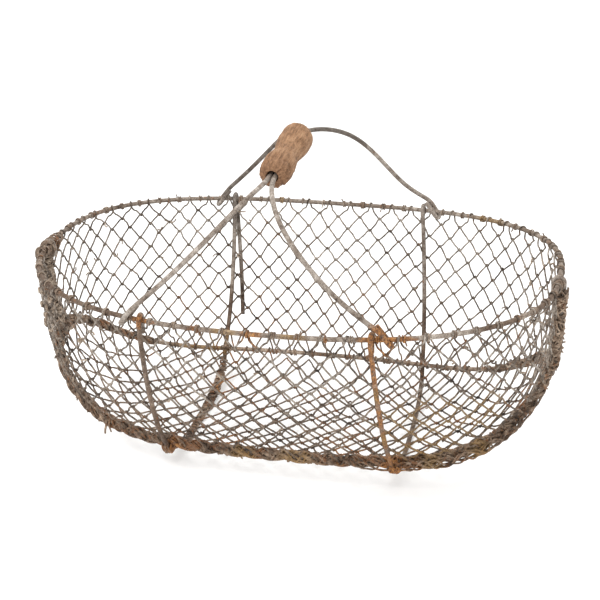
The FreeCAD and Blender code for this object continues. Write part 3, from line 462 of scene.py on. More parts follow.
def weathered_wire(name, palette, rust_level, metallic, dirt, ochre, rust=(), dark=(), back_darkening=(),
                   scale=1.0, bump=0.0):
    """Old wire, with spots (x, y, z, radius) of rust, ochre and dark grime, and spots where it is
    only made darker.

    rust_level is the noise level above which loose rust shows, dirt the strength of the soiling
    low down, scale the fineness of the pattern and bump the relief's height."""
    shader = Shader(name)
    calc, noise, ramp, mix = shader.calc, shader.noise, shader.ramp, shader.mix
    big = noise(scale=22 * scale, detail=3, rough=0.6)
    mid = noise(scale=160 * scale, rough=0.6, offset=(3, 1, 2))
    fine = noise(scale=900 * scale, rough=0.65, offset=(1, 5, 2))
    colour = ramp(shader.blend(mid, 0.55, big, 0.45), palette)
    grime = ramp(fine, [(0.38, (0.22, 0.17, 0.13)), (0.51, (0.98, 0.97, 0.95)),
                        (0.8, (1.4, 1.37, 1.32))])
    colour = mix(0.75, colour, grime, "MULTIPLY")
    # soiling grows from 125 mm high down to 40 mm (in metres here)
    low = calc("DIVIDE", calc("SUBTRACT", 0.125, shader.separate()[2]), 0.085, clamp=True)
    low = calc("MULTIPLY", low, calc("ADD", 0.35, calc("MULTIPLY", big, 1.1)), clamp=True)
    colour = mix(calc("MULTIPLY", low, dirt), colour, (0.52, 0.40, 0.29), "MULTIPLY")
    # the first kind of spot only makes the wire a darker grey; the second is brown grime
    for spots, strength, tint in ((back_darkening, 0.75, (0.40, 0.385, 0.375)),
                                  (dark, 0.8, (0.45, 0.33, 0.24))):
        if spots:
            spot = calc("MULTIPLY", shader.near(spots, mid), strength)
            colour = mix(spot, colour, tint, "MULTIPLY")
    # loose rust, a little thicker low down
    patches = noise(scale=45 * scale, detail=5, rough=0.7, offset=(7, 2, 9))
    freckle = noise(scale=330 * scale, detail=3, rough=0.6, offset=(2, 2, 9))
    loose = shader.blend(patches, 0.6, freckle, 0.4)
    loose = calc("ADD", loose, calc("MULTIPLY", low, 0.045))
    rusty = ramp(loose, [(rust_level, 0.0), (rust_level + 0.07, 1.0)])
    brown = ramp(fine, [(0.3, (0.055, 0.020, 0.008)), (0.5, (0.20, 0.080, 0.026)),
                        (0.75, (0.40, 0.185, 0.070))])
    colour = mix(calc("MULTIPLY", rusty, 0.80), colour, brown)
    if rust:
        spot = shader.near(rust, shader.blend(freckle, 0.5, mid, 0.5))
        bright = ramp(shader.blend(fine, 0.5, freckle, 0.5), [
            (0.37, (0.032, 0.013, 0.005)), (0.46, (0.150, 0.057, 0.015)),
            (0.54, (0.335, 0.135, 0.028)), (0.66, (0.52, 0.265, 0.085))])
        spot = calc("MULTIPLY", spot, ramp(mid, [(0.36, 0.35), (0.50, 0.95)]))
        colour = mix(spot, colour, bright)
        if bump:
            rusty = calc("MAXIMUM", rusty, spot)
    spot = shader.near(ochre, freckle)
    tint = ramp(shader.blend(fine, 0.5, freckle, 0.5), [
        (0.38, (0.075, 0.042, 0.014)), (0.50, (0.235, 0.135, 0.042)),
        (0.64, (0.42, 0.27, 0.10))])
    colour = mix(calc("MULTIPLY", spot, 0.65), colour, tint)
    shader.surface(colour, roughness=0.66)
    shader.bsdf.inputs["Metallic"].default_value = metallic
    if bump:
        height = shader.blend(fine, 0.6, freckle, 0.6)
        height = calc("ADD", height, calc("MULTIPLY", rusty, 0.25))
        shader.bump(height, strength=0.55, distance=bump * MM)
    return shader.material


def tinted(palette, *tint):
    return [(stop, tuple(c * t for c, t in zip(colour, tint))) for stop, colour in palette]


# palettes: ramp position and colour, dark to light
GREY = [(0.34, (0.085, 0.058, 0.040)), (0.44, (0.215, 0.172, 0.140)),
        (0.54, (0.335, 0.290, 0.252)), (0.66, (0.56, 0.51, 0.465))]
RIM = [(0.34, (0.066, 0.042, 0.027)), (0.44, (0.175, 0.130, 0.098)),
       (0.55, (0.285, 0.237, 0.197)), (0.67, (0.50, 0.445, 0.39))]
BROWN = [(0.37, (0.030, 0.019, 0.012)), (0.44, (0.115, 0.086, 0.064)),
         (0.53, (0.262, 0.221, 0.184)), (0.64, (0.50, 0.452, 0.405))]

# spots: x, y, z, radius
HOOK_RUST = [(107, -178, 187, 15), (116, -179, 180, 13), (98, -181, 184, 12),
             (126, -178, 182, 10), (136, -176, 182, 7)]
RIGHT_RIB_RUST = [(98, -183, 170, 15), (99, -181, 150, 15), (101, -176, 126, 15),
                  (104, -166, 100, 15), (107, -150, 74, 15), (111, -128, 45, 15)]
LOW_RIBS = [(112, 110, 40, 26), (110, 135, 65, 22), (-104, 112, 40, 26), (-102, 138, 70, 24),
            (112, -110, 24, 20), (-105, -110, 24, 20)]
LEFT_RIB = [(-107, -183, 165, 16), (-108, -181, 148, 16), (-108, -176, 125, 17),
            (-107, -167, 102, 17), (-106, -153, 80, 17), (-105, -136, 58, 17),
            (-104, -120, 38, 15)]

heavy_finish = weathered_wire(
    "weathered_heavy_wire", GREY, rust_level=0.59, bump=0.40, metallic=0.24, dirt=0.9,
    rust=HOOK_RUST + [(-108, -181, 184, 8)] + RIGHT_RIB_RUST,
    ochre=[(101, -176, 126, 9), (107, -150, 74, 10), (-135, 114, 32, 24), (-110, 115, 31, 16)],
    dark=LOW_RIBS + LEFT_RIB,
    # spots that only make the wire darker, over the back halves of the handle wires
    back_darkening=[(-45, 95, 285, 45), (-85, 150, 225, 50), (5, 75, 292, 34), (30, 120, 285, 38),
          (-100, 172, 195, 26), (-104, 178, 170, 24)])
rim_finish = weathered_wire(
    "weathered_rim_wire", RIM, rust_level=0.57, bump=0.38, metallic=0.224, dirt=0.3,
    rust=HOOK_RUST + [(-6, -184, 180, 10), (-58, -184, 179, 6), (-108, -181, 184, 10)],
    ochre=[(165, 138, 184, 22), (-30, -184, 182, 12), (30, -183, 181, 12)],
    dark=[(-246, -40, 184, 34), (-228, -90, 184, 36), (-195, -130, 184, 36),
          (-158, -158, 184, 34), (-125, -175, 184, 26), (238, -70, 184, 30),
          (205, -125, 184, 30)])
hoop_finish = weathered_wire(
    "weathered_hoop_wire", tinted(GREY, 1.1, 1.02, 0.93),
    rust_level=0.58, bump=0.35, metallic=0.2, dirt=0.25,
    ochre=[(-135, 114, 32, 30), (-110, 115, 31, 18), (-160, 108, 36, 12)])
netting_finish = weathered_wire(
    "weathered_netting_wire", BROWN, rust_level=0.555, scale=1.25, metallic=0.144, dirt=0.85,
    rust=[(-7, -183, 175, 9), (107, -178, 175, 12), (60, -60, 9, 16), (-60, -60, 10, 16),
          (-95, 60, 20, 20), (-100, 105, 32, 16)],
    ochre=[(150, -150, 90, 36), (120, -160, 90, 30), (190, -120, 90, 30), (140, -120, 60, 34),
           (-120, 110, 36, 16), (-200, -60, 110, 26)])
lacing_finish = weathered_wire(
    "weathered_lacing_wire", tinted(BROWN, 1.05, 0.90, 0.77),
    rust_level=0.545, scale=1.1, metallic=0.12, dirt=0.25,
    rust=[(110, -114, 26, 15), (-98, -114, 28, 10), (-110, -108, 26, 8), (60, -112, 27, 9),
          (130, -105, 28, 10)],
    ochre=[(186, -88, 42, 14), (146, -105, 30, 12), (20, -118, 27, 18), (-30, -118, 27, 14)])
left_finish = weathered_wire(
    "weathered_left_lacing_wire", tinted(BROWN, 1.42, 1.34, 1.24),
    rust_level=0.555, scale=1.1, metallic=0.12, dirt=0.3,
    rust=[(-252, 22, 184, 12), (-246, 30, 120, 10)], ochre=[(-240, 10, 110, 14)])
rim_lacing_finish = weathered_wire(
    "weathered_rim_lacing_wire", tinted(RIM, 1.02, 0.95, 0.88),
    rust_level=0.545, scale=1.1, metallic=0.144, dirt=0.3,
    rust=HOOK_RUST + [(-6, -184, 180, 12), (-58, -184, 179, 7), (-90, -184, 179, 6),
                      (60, -184, 181, 7), (30, -184, 181, 6)],
    ochre=[(-60, 184, 182, 12), (165, 150, 184, 20)])

for name in ("rim_hoop", "base_hoop", "rib_left", "rib_right", "end_strut_left",
             "end_strut_right", "handle_wire_left", "handle_wire_right"):
    finish = {"rim_hoop": rim_finish, "base_hoop": hoop_finish}.get(name, heavy_finish)
    nodes[name].data.materials.clear()
    nodes[name].data.materials.append(finish)


# ------------------------------------------------------------------ netting rows
def zigzag(upper, lower, low_first):
    """Bends (low, along, down) of a row that swings between two levels of joints."""
    lead, follow = (lower, upper) if low_first else (upper, lower)
    bends = []
    for i in range(len(lead[0])):
        bends.append((low_first, lead[0][i], lead[1][i]))
        if i < len(follow[0]):
            bends.append((not low_first, follow[0][i], follow[1][i]))
    return bends


def bend_points(place, side, here, last, after, wobble, r, part=slice(None)):
    """A bend that links with the next row: side is 1 for a low bend, -1 for a high one.

    last and after are the neighbouring bends; one that is missing mirrors the other."""
    left = np.subtract((last or after)[1:3], here) * (1 if last else -1, 1) * 0.24
    right = np.subtract((after or last)[1:3], here) * (1 if after else -1, 1) * 0.24
    out = side * LIFT
    rows = np.array([(left[0], left[1] + 0.45 * side, out),
                     (-1.25, -0.42 * side, out * 1.1),
                     (0.0, side, 0.0),
                     (1.25, -0.42 * side, -out * 1.1),
                     (right[0], right[1] + 0.45 * side, -out)])[part]
    return framed(place, rows + r.normal(0, wobble, rows.shape) * (1, 1, 0.5))


# the two points of wire that lead on to a bar, as (along, down, out)
RIM_LEG = np.array([(-3.2, 6.5, 0.6), (-1.3, 2.2, 3.0)])
HOOP_LEG = np.array([(-3.0, -7.5, 1.0), (-1.2, -2.6, 3.0)])


def over_bar(place, leg, arrives, leaves, **turn):
    points = framed(place, leg) if arrives else []
    points += round_bar(place, **turn)
    if leaves:
        points += framed(place, leg[::-1] * (-1, 1, -1))
    return points


def held_at(panel, bend):
    """Depth at which the straights beside a bend start."""
    kind, along, down = bend
    return {"rim": 3.0, "hoop": panel.low(along) - 2.0}.get(kind, down)


def wall_run(panel, run, r):
    """Control points of one unbroken wire through bends (kind, along, down)."""
    points = []
    for i, bend in enumerate(run):
        kind, along, down = bend
        last = run[i - 1] if i else None
        after = run[i + 1] if i < len(run) - 1 else None
        if kind == "rim":
            points += over_bar(panel.place(along, 0.0), RIM_LEG, last, after,
                               start=20, stop=160, count=4, slip=1.8, radius=RIM_BAR_R)
        elif kind == "hoop":
            # a wire that starts or ends here goes right round
            ends = not (last and after)
            points += over_bar(panel.hoop_place(along), HOOP_LEG, last, after,
                               start=-20 if last else 200,
                               stop=-380 if last and not after else -160,
                               count=9 if ends else 4, slip=2.4 if ends else 1.6)
        else:
            points += bend_points(
                panel.place(along, down), 1.0 if kind == "low" else -1.0, (along, down), last,
                after, 0.17, r, slice(0 if last else 2, None if after else 3))
        if after:
            # the straight to the next bend, a little bowed
            top, end = held_at(panel, bend), held_at(panel, after)
            side = 1.0 if end > top else -1.0
            bow = r.normal(0, 0.35)
            f = 0.5 + r.normal(0, 0.04)
            place = panel.place(along + (after[1] - along) * f + bow,
                                top + (end - top) * f + bow * 0.5)
            points.append(place[0] + place[3] * (side * LIFT + r.normal(0, 0.1)))
    return points


def wall_row(panel, row):
    r = np.random.default_rng(panel.seed * 100 + row)
    bends = zigzag(panel.levels[row - 1], panel.levels[row], low_first=row % 2 == 1)
    kinds = []
    for low, along, down in bends:
        room = panel.low(along) - down >= LEAST_ROOM
        if low:
            kinds.append("low" if room and row < ROWS else "hoop")
        elif row == 1:
            kinds.append("rim")
        else:
            kinds.append("high" if room else "gone")
    runs = [[]]
    for i, (kind, (_, along, down)) in enumerate(zip(kinds, bends)):
        # a hoop bend goes too when no neighbour is left
        if kind == "gone" or set(kinds[max(i - 1, 0):i + 2]) == {"hoop", "gone"}:
            runs.append([])
        else:
            runs[-1].append((kind, along, down))
    wires = Builder()
    for run in runs:
        if len(run) > 1:
            points = spline(wall_run(panel, run, r), 3)
            ripple = np.sin(np.arange(len(points)) * 0.9 + r.uniform(0, 6))
            ripple = ripple * r.normal(0, 1, len(points)).clip(-1, 1)
            wires.tube(points, WIRE_R * (1 + 0.07 * ripple))
    wires.finish("wire_%s_%02d" % (panel.name, row), netting_finish,
                 replaces="netting_%s_row_%02d" % (panel.name, row))


def floor_place(x, y):
    """Place on the floor netting, where along is +X and down is towards the back."""
    e = 0.5
    slope_x = (floor_z(x + e, y) - floor_z(x - e, y)) / (2 * e)
    slope_y = (floor_z(x, y + e) - floor_z(x, y - e)) / (2 * e)
    normal = unit(np.array([-slope_x, -slope_y, 1.0]))
    along = unit(np.array([1.0, 0, slope_x]))
    return np.array([x, y, floor_z(x, y)]), along, np.cross(normal, along), normal


def on_floor(x, y):
    return ((abs(x) / (HOOP_X - FLOOR_INSET)) ** HOOP_POWER
            + (abs(y) / (HOOP_Y - FLOOR_INSET)) ** HOOP_POWER < 1)


def nearest_hoop(x, y):
    """Base hoop point nearest a place in plan, with its tangent and outward direction."""
    steps = 1440
    hoop = hoop_point(np.linspace(0, TURN, steps + 1))
    i = int(np.argmin((hoop[:, 0] - x) ** 2 + (hoop[:, 1] - y) ** 2))
    tangent = unit(hoop[(i + 1) % steps] - hoop[(i - 1) % steps])
    out = square_to(np.array([hoop[i, 0] / HOOP_X, hoop[i, 1] / HOOP_Y, 0.0]), tangent)
    return hoop[i], tangent, out


def floor_joints(seed):
    """The floor's linking points, as (x, y) arrays from front to back."""
    r = np.random.default_rng(seed)
    levels = []
    for level in range(FLOOR_ROWS + 1):
        y = -FLOOR_SPAN / 2 + FLOOR_SPAN * level / FLOOR_ROWS
        count = int(HOOP_X / FLOOR_PITCH) + 3
        x = (np.arange(-count, count + 1) + (0.5 if level % 2 else 0.0)) * FLOOR_PITCH
        wander_x = wander(500, 1.6, seed + level)(x + 250)
        wander_y = wander(500, 1.2, seed + 99 + level)(x + 250)
        levels.append((x + r.normal(0, 0.8, len(x)) + wander_x,
                       y + r.normal(0, 0.7, len(x)) + wander_y))
    return levels


def floor_row(levels, row):
    """Row 1 is at the front; low bends are the ones nearer the back."""
    r = np.random.default_rng(3100 + row)
    bends = [(low, x, y, on_floor(x, y))
             for low, x, y in zigzag(levels[row - 1], levels[row], low_first=row % 2 == 0)]
    # the first and last rows only link on their inner side
    good = [i for i, (low, _, _, free) in enumerate(bends)
            if free and (low or row > 1) and (not low or row < FLOOR_ROWS)]
    run = bends[max(min(good) - 1, 0):max(good) + 2]
    points = []
    for i, (low, x, y, free) in enumerate(run):
        last = run[i - 1] if i else None
        after = run[i + 1] if i < len(run) - 1 else None
        side = 1.0 if low else -1.0
        if free and last and after:
            points += bend_points(floor_place(x, y), side, (x, y), last, after, 0.12, r)
        else:
            hoop, tangent, out = nearest_hoop(x, y)
            up = np.cross(out, tangent)
            if up[2] < 0:
                up = -up
            forward = (after[1] - x) if after else (x - last[1])
            way = 1.0 if tangent[0] * forward >= 0 else -1.0
            place = hoop, tangent * way, up * -side, out
            if last:
                points += framed(place, [(-2.0, -0.8, -6.0)])
            if last and after:
                points += round_bar(place, start=150, stop=-150, count=4, slip=1.8)
            else:
                points += round_bar(place, start=150, stop=-210, count=9, slip=1.8)
            if after:
                points += framed(place, [(2.0, 0.8, -6.0)])
        if after and free and after[3]:
            f = 0.5 + r.normal(0, 0.04)
            middle_x = x + (after[1] - x) * f + r.normal(0, 0.3)
            middle_y = y + (after[2] - y) * f + r.normal(0, 0.3)
            place = floor_place(middle_x, middle_y)
            lift = (1.0 if after[2] > y else -1.0) * LIFT + r.normal(0, 0.1)
            points.append(place[0] + place[3] * lift)
    points = spline(points, 3)
    wires = Builder()
    wires.tube(points, WIRE_R * (1 + 0.06 * r.normal(0, 1, len(points)).clip(-1, 1)))
    wires.finish("wire_bottom_%02d" % row, netting_finish,
                 replaces="netting_bottom_row_%02d" % row)


# the front panel runs from left to right, the back panel from right to left
panels = {
    "front": Panel("front", math.pi - STRUT_TURN, TURN + STRUT_TURN, meshes=30, seed=11),
    "back": Panel("back", STRUT_TURN, math.pi - STRUT_TURN, meshes=34, seed=23),
}
for panel in panels.values():
    for row in range(1, ROWS + 1):
        wall_row(panel, row)
floor_levels = floor_joints(31)
for row in range(1, FLOOR_ROWS + 1):
    floor_row(floor_levels, row)


# ------------------------------------------------------------------ lacing round the rim
def rim_turns(wires, panel, r):
    """A few turns of wire round the rim at every mesh, some with an end that sticks out."""
    for i in range(panel.meshes):
        along = panel.length * (i + 0.5) / panel.meshes + r.normal(0, 0.8) + 1.9
        place = panel.place(along, 0.0)
        turns = r.choice([1.3, 1.6, 2.4], p=[0.4, 0.35, 0.25])
        start = r.uniform(0, 360)
        count = int(turns * 14)
        points = round_bar(place, start, start + 360 * turns, count, slip=1.75 * turns,
                           radius=3.1 + 0.075 * r.normal(size=count + 1))
        if r.random() < 0.4:
            ahead = unit(points[-1] - points[-2])
            away = unit(points[-1] - place[0])
            points += [points[-1] + ahead * 1.5 + away * 0.4,
                       points[-1] + ahead * 3.0 + away * 1.6]
        wires.tube(spline(points, 2), r.choice([0.62, 0.7, 0.95], p=[0.5, 0.38, 0.12]))


def rim_bunch(wires, panel, end, r):
    """Wire ends bunched round the rim near a panel's end, thicker at the basket's left."""
    left = (panel.name == "back") == bool(end)
    reach = (34.0 if panel.name == "back" else 26.0) if left else 20.0
    for j in range(9 if left else 4):
        count = 60 if left else 34
        s = np.linspace(0.3, r.uniform(0.5, 1.0) * reach, count)
        turn = panel.turn_at(panel.length - s if end else s)
        rim = rim_point(turn)
        tangent = unit(rim_point(turn + 1e-3) - rim_point(turn - 1e-3))
        out = unit(np.cross(tangent, UP))
        out *= np.sign((out * rim).sum(1))[:, None]
        up = np.cross(tangent, out)
        up *= np.sign(up[:, 2])[:, None]
        shake = smoothed(r, count, 11)
        fade = np.clip(1 - s / reach, 0, 1) ** 0.6
        layer = (1.2 + 0.52 * j) * fade * (1.0 if left else 0.7)
        radius = np.maximum(3.2 + layer + 0.9 * shake * fade, 3.15)
        angle = TURN * s / r.uniform(11, 38) * r.choice([-1, 1]) + j * 2.4 + 1.2 * shake
        droop = 1.2 * fade * (radius > 4)
        points = rim + ellipse(angle, out, up, radius, radius * 0.9) - up * droop[:, None]
        wires.tube(push_out(points, rim, least=3.1), r.uniform(0.72, 0.95), 6)


wires = Builder()
r = np.random.default_rng(5)
for panel in panels.values():
    rim_turns(wires, panel, r)
    for end in (0, 1):
        rim_bunch(wires, panel, end, r)
wires.finish("rim_wraps", rim_lacing_finish, replaces="rim_lacing")

# ------------------------------------------------------------------ lacing round the base hoop
# s = mm round the hoop from its right end, by way of the back
hoop_turns = np.linspace(0, TURN, 2401)
hoop_points = hoop_point(hoop_turns)
hoop_s = arc_length(hoop_points)
HOOP_LENGTH = hoop_s[-1]
BARE_X = 182.0          # the back of the hoop is bare between -BARE_X and BARE_X


def hoop_at(s):
    """Point, tangent, outward and upward directions on the base hoop."""
    turn = np.interp(np.asarray(s) % HOOP_LENGTH, hoop_s, hoop_turns)
    point = hoop_point(turn)
    tangent = unit(hoop_point(turn + 1e-3) - hoop_point(turn - 1e-3))
    x, y = point[..., 0], point[..., 1]
    out = np.stack([x / HOOP_X, y / HOOP_Y * (HOOP_X / HOOP_Y), 0 * x], -1)
    out = square_to(out, tangent)
    return point, tangent, out, np.cross(tangent, out)


def bare_end(side):
    chosen = (hoop_points[:, 1] > 0) & (hoop_points[:, 0] * side > 0)
    nearest = np.argmin(abs(hoop_points[chosen][:, 0] - side * BARE_X))
    return float(hoop_s[chosen][nearest])


LEFT_END = bare_end(-1)
LACE_START = LEFT_END - 8
LACE_STOP = HOOP_LENGTH + bare_end(1) + 8


def strand(wires, start, stop, radius, wire, pitch, hand, phase, seed, wander_by=0.0, rough=0.25,
           sides=7, step=1.15):
    """One strand of wire laid round the base hoop from start to stop."""
    r = np.random.default_rng(seed)
    length = stop - start
    count = int(length / min(step, pitch / 15.0))
    s = np.linspace(start, stop, count)
    point, _, out, up = hoop_at(s)
    twist = wander(length, wander_by, seed + 1)(s - start)
    slack = wander(length, rough, seed + 2)(s - start)
    shake = smoothed(r, count, 15) * rough * 2.2
    angle = hand * (TURN * s / pitch + twist * 2) + phase
    far = np.maximum(radius + slack + shake, HOOP_WIRE_R + wire * 0.98)
    ends = np.minimum(1, np.minimum(s - start, stop - s) / 12.0)
    touching = HOOP_WIRE_R + wire
    far = touching + (far - touching) * ends
    thickness = wire * (1 + 0.10 * np.sin(s * 0.43 + seed) + 0.06 * shake)
    wires.tube(point + ellipse(angle, out, up, far), thickness, sides)


def hoop_layers(wires, r):
    for i in range(6):
        strand(wires, LACE_START + r.uniform(0, 25), LACE_STOP - r.uniform(0, 25),
               radius=3.4, wire=1.05, pitch=40.0, hand=1, phase=i * math.pi / 3,
               seed=200 + i, wander_by=0.25, rough=0.14)
    for i in range(3):
        strand(wires, LACE_START + 52 + r.uniform(0, 50), LACE_STOP - 36 - r.uniform(0, 50),
               radius=4.75, wire=1.55, pitch=63.0, hand=1, phase=0.4 + i * TURN / 3,
               seed=300 + i, wander_by=0.30)
    for i, (radius, pitch, hand) in enumerate(((4.9, 23.0, -1), (5.15, 31.0, 1),
                                               (4.7, 17.0, -1))):
        strand(wires, LACE_START + 60 + r.uniform(0, 60), LACE_STOP - 40 - r.uniform(0, 60),
               radius=radius, wire=0.78, pitch=pitch, hand=hand, phase=i * 2.0,
               seed=400 + i, wander_by=1.6, rough=0.30, sides=6)


def hoop_lumps(wires, r, count=58):
    """Netting ends bunched round the hoop."""
    for j in range(count):
        spacing = (LACE_STOP - LEFT_END - 40) / count
        s = LEFT_END + 20 + spacing * (j + r.uniform(0.2, 0.8))
        strand(wires, s, s + r.uniform(6, 13), radius=r.uniform(4.6, 5.2),
               wire=r.uniform(0.75, 0.95), pitch=r.uniform(4.5, 9.0), hand=r.choice([-1, 1]),
               phase=r.uniform(0, 6), seed=500 + j, rough=0.15, sides=6)


def bare_turns(wires, r):
    """Short turns of thin wire on the bare back, at every mesh."""
    panel = panels["back"]
    for i in range(panel.meshes):
        point = hoop_point(panel.turn_at(panel.length * (i + 0.5) / panel.meshes))
        if abs(point[0]) > BARE_X - 4:
            continue
        nearest = np.argmin(((hoop_points - point) ** 2).sum(1))
        s = float(hoop_s[nearest]) + r.normal(0, 1.0)
        strand(wires, s - 1.6, s + 1.6, radius=3.1, wire=0.78,
               pitch=r.choice([1.6, 2.2, 3.0]), hand=1, phase=r.uniform(0, 6),
               seed=700 + i, rough=0.03, sides=6, step=0.2)


def hoop_bulge(wires):
    """Wire that bulges outside the hoop at the front right."""
    # start and stop back from the hoop's right end, and depth
    bulges = ((-238.0, -70.0, 6.2), (-215.0, -66.0, 5.0), (-240.0, -60.0, 4.0),
              (-200.0, -50.0, 2.4), (-190.0, -40.0, 1.8), (-228.0, -90.0, 5.4))
    for k, (start, stop, depth) in enumerate(bulges):
        s = np.linspace(start, stop, 150)
        point, _, out, up = hoop_at(s + HOOP_LENGTH)
        swell = np.sin(math.pi * (s - start) / (stop - start)) ** 0.5
        wave = 0.5 + 0.5 * np.cos(TURN * s / (17.0 + 3 * k) + k)
        far = 5.6 + depth * 0.78 * swell * (0.6 + 0.4 * wave)
        tilt = 0.35 + 0.7 * np.sin(TURN * s / (34.0 + 3 * k) + 2 * k)
        wires.tube(point + ellipse(tilt, out, up, far), 0.85 if k < 3 else 1.0, 6)


def hoop_loose_ends(wires, r):
    for j in range(70):
        point, tangent, out, up = hoop_at(r.uniform(LEFT_END + 10, LACE_STOP - 10))
        angle = r.uniform(-0.6, TURN - 0.6) if j % 2 else r.uniform(-0.4, 1.6)
        away = ellipse(angle, out, up, 1.0)
        ahead = tangent * r.choice([-1, 1])
        ahead = unit(ahead + ellipse(angle + math.pi / 2, out, up, 1.0) * r.normal(0, 0.5))
        foot = point + away * 4.6
        length = r.uniform(2.5, 5.0)
        points = [foot, foot + ahead * length * 0.4 + away * 0.4,
                  foot + ahead * length * 0.8 + away + tangent * r.normal(0, 0.6),
                  foot + ahead * length + away * r.uniform(0.6, 2.2)]
        wires.tube(spline(points, 4), 0.75, 6)


def pigtails(wires):
    """Ends that hang from the hoop: two at the front left and one at the front right."""
    # x, y, drop, sideways bend, wire radius
    for x, y, drop, bend, wire in ((-170, -96, 12.0, -2.0, 1.3), (-167, -97, 8.5, 1.5, 0.95),
                                   (196, -82, 5.5, 3.0, 0.8)):
        i = int(np.argmin((hoop_points[:, 0] - x) ** 2 + (hoop_points[:, 1] - y) ** 2))
        point, _, out, _ = hoop_at(hoop_s[i])
        # each row: distance out, then an x, y, z shift
        rows = ((2.0, 0, 0, 4.6), (5.0, 0, 0, 1.0), (5.2, bend * 0.2, 0, -3.5),
                (4.9, bend * 0.7, -0.8, -drop * 0.65), (4.2, bend, -1.2, -drop))
        points = [point + out * far + np.array(shift) for far, *shift in rows]
        wires.tube(spline(points, 6), wire * np.linspace(1, 0.8, 25))


wires = Builder()
r = np.random.default_rng(8)
hoop_layers(wires, r)
hoop_lumps(wires, r)
bare_turns(wires, r)
hoop_bulge(wires)
hoop_loose_ends(wires, r)
pigtails(wires)
wires.finish("base_wraps", lacing_finish, replaces="base_lacing")

# ------------------------------------------------------------------ winding on the end struts
# layers: outward offset, radius, extra width, pitch, wire radius, number of strands
SEAM_LAYERS = [(BESIDE_HEAVY, 3.25, 0.3, 34.0, 0.92, 5), (BESIDE_HEAVY, 4.2, 0.2, 21.0, 0.85, 2),
               (4.4, 4.6, 0.4, 13.0, 0.8, 1), (4.0, 5.1, 0.7, 31.0, 0.95, 3),
               (3.6, 5.6, 0.9, 44.0, 0.9, 3), (3.4, 6.0, 1.0, 19.0, 0.8, 1)]
LEFT_LAYERS = [(3.6, 6.4, 1.0, 14.0, 0.9, 2), (3.8, 6.0, 1.0, 26.0, 1.0, 3),
               (3.8, 7.0, 1.2, 24.0, 0.95, 4), (3.8, 7.5, 1.2, 36.0, 1.0, 4),
               (3.8, 7.9, 1.0, 17.0, 0.85, 2)]


def seam(side, turn, seed, layers, fat, top_taper, cut_ends, material):
    """Netting ends wound round one end strut, and cut ends that stand out of the winding."""
    wires = Builder()
    r = np.random.default_rng(seed)
    count = 70
    down = np.linspace(0.035, 0.965, count)
    base = wall_point(np.full(count, turn), down)
    across = unit(wall_point(np.full(count, turn + 1e-3), down)
                  - wall_point(np.full(count, turn - 1e-3), down))
    tangent = unit(np.gradient(base, axis=0))
    out = unit(np.cross(across, tangent))
    out *= np.sign((out * base).sum(1))[:, None]
    base_s = arc_length(base)
    length = base_s[-1]

    def jitter(s):
        knots = int((s[-1] - s[0]) / 7.0)
        return np.interp(s, np.linspace(s[0], s[-1], knots), r.normal(0, 1.0, knots))

    for offset, radius, extra, pitch, wire, strands in layers:
        outer = radius > 4
        for i in range(strands):
            start = length * r.uniform(0, 0.03)
            if offset > 3.5:
                stop = length * (1 - r.uniform(0, 0.05))
            else:
                stop = length * r.uniform(0.72, 0.95)
            s = np.linspace(start, stop, int((stop - start) / min(pitch / 15.0, 1.1)))
            axis, right, away = (points_at(s, base_s, v) for v in (base, across, out))
            shake = smoothed(r, len(s), 13)
            angle = TURN * (s / pitch + i / strands) * r.choice([-1, 1])
            angle = angle + (1.5 if outer else 0.5) * jitter(s)
            centre = axis + away * offset
            if side == "left":
                # outer layers stand out at the top and sink in lower down
                bulge = (4.8 - 9.0 * s / length).clip(-1.8, 4.8) * ((s + 2) / 26).clip(0, 1)
                centre += away * (bulge * min(1.0, max(0.0, (radius - 3.2) / 3.5)))[:, None]
            if outer:
                centre += right * (0.9 * jitter(s))[:, None]
            taper = 1.0 if radius < 5.5 else top_taper - 0.42 * s / length
            far = np.maximum(radius * fat * taper + 0.9 * shake * outer, 3.2)
            points = centre + ellipse(angle, right, away, far + extra, far * 0.93)
            # never inside the strut
            points = push_out(points, axis + away * BESIDE_HEAVY, least=2.25 + wire)
            wires.tube(points, wire * (1 + 0.1 * np.sin(s * 0.7 + i)), 6)
    for _ in range(cut_ends):
        k = int(r.uniform(3, 62))
        angle = r.uniform(0, TURN)
        away = ellipse(angle, across[k], out[k], 1.0)
        ahead = tangent[k] * r.choice([-1, 1])
        sideways = ellipse(angle + math.pi / 2, across[k], out[k], 1.0)
        ahead = unit(ahead + sideways * r.normal(0, 0.7))
        foot = base[k] + out[k] * 4.2 + away * 5.2 * fat
        reach = r.uniform(2.5, 5.5)
        points = [foot - away * 1.2, foot + ahead * reach * 0.4,
                  foot + ahead * reach * 0.8 + away * 0.7,
                  foot + ahead * reach + away * r.uniform(0.6, 2.0)]
        wires.tube(spline(points, 4), r.uniform(0.7, 0.95), 6)
    wires.finish("seam_wraps_" + side, material, replaces="seam_lacing_" + side)


seam("right", STRUT_TURN, seed=40, layers=SEAM_LAYERS, fat=1.0, top_taper=1.06,
     cut_ends=34, material=lacing_finish)
seam("left", math.pi - STRUT_TURN, seed=41, layers=SEAM_LAYERS + LEFT_LAYERS, fat=1.12,
     top_taper=1.12, cut_ends=46, material=left_finish)

# ------------------------------------------------------------------ ends caught in the netting
# count, panel, range of levels, range of joints, wire radius, range of lengths,
# and every how many one is curled
CAUGHT_ENDS = [(26, "back", (1, 6), (21, 32), 0.72, (4, 8), 2),
               (14, "back", (1, 11), (2, 22), 0.68, (3, 6), 3),
               (30, "back", (1, 9), (1, 7), 0.78, (4, 8), 2),
               (44, "front", (1, 9), (1, 9), 0.85, (4, 9), 3),
               (22, "front", (1, 11), (9, 28), 0.75, (3, 7), 3),
               (34, "front", (1, 9), (23, 30), 0.8, (4, 8), 3)]


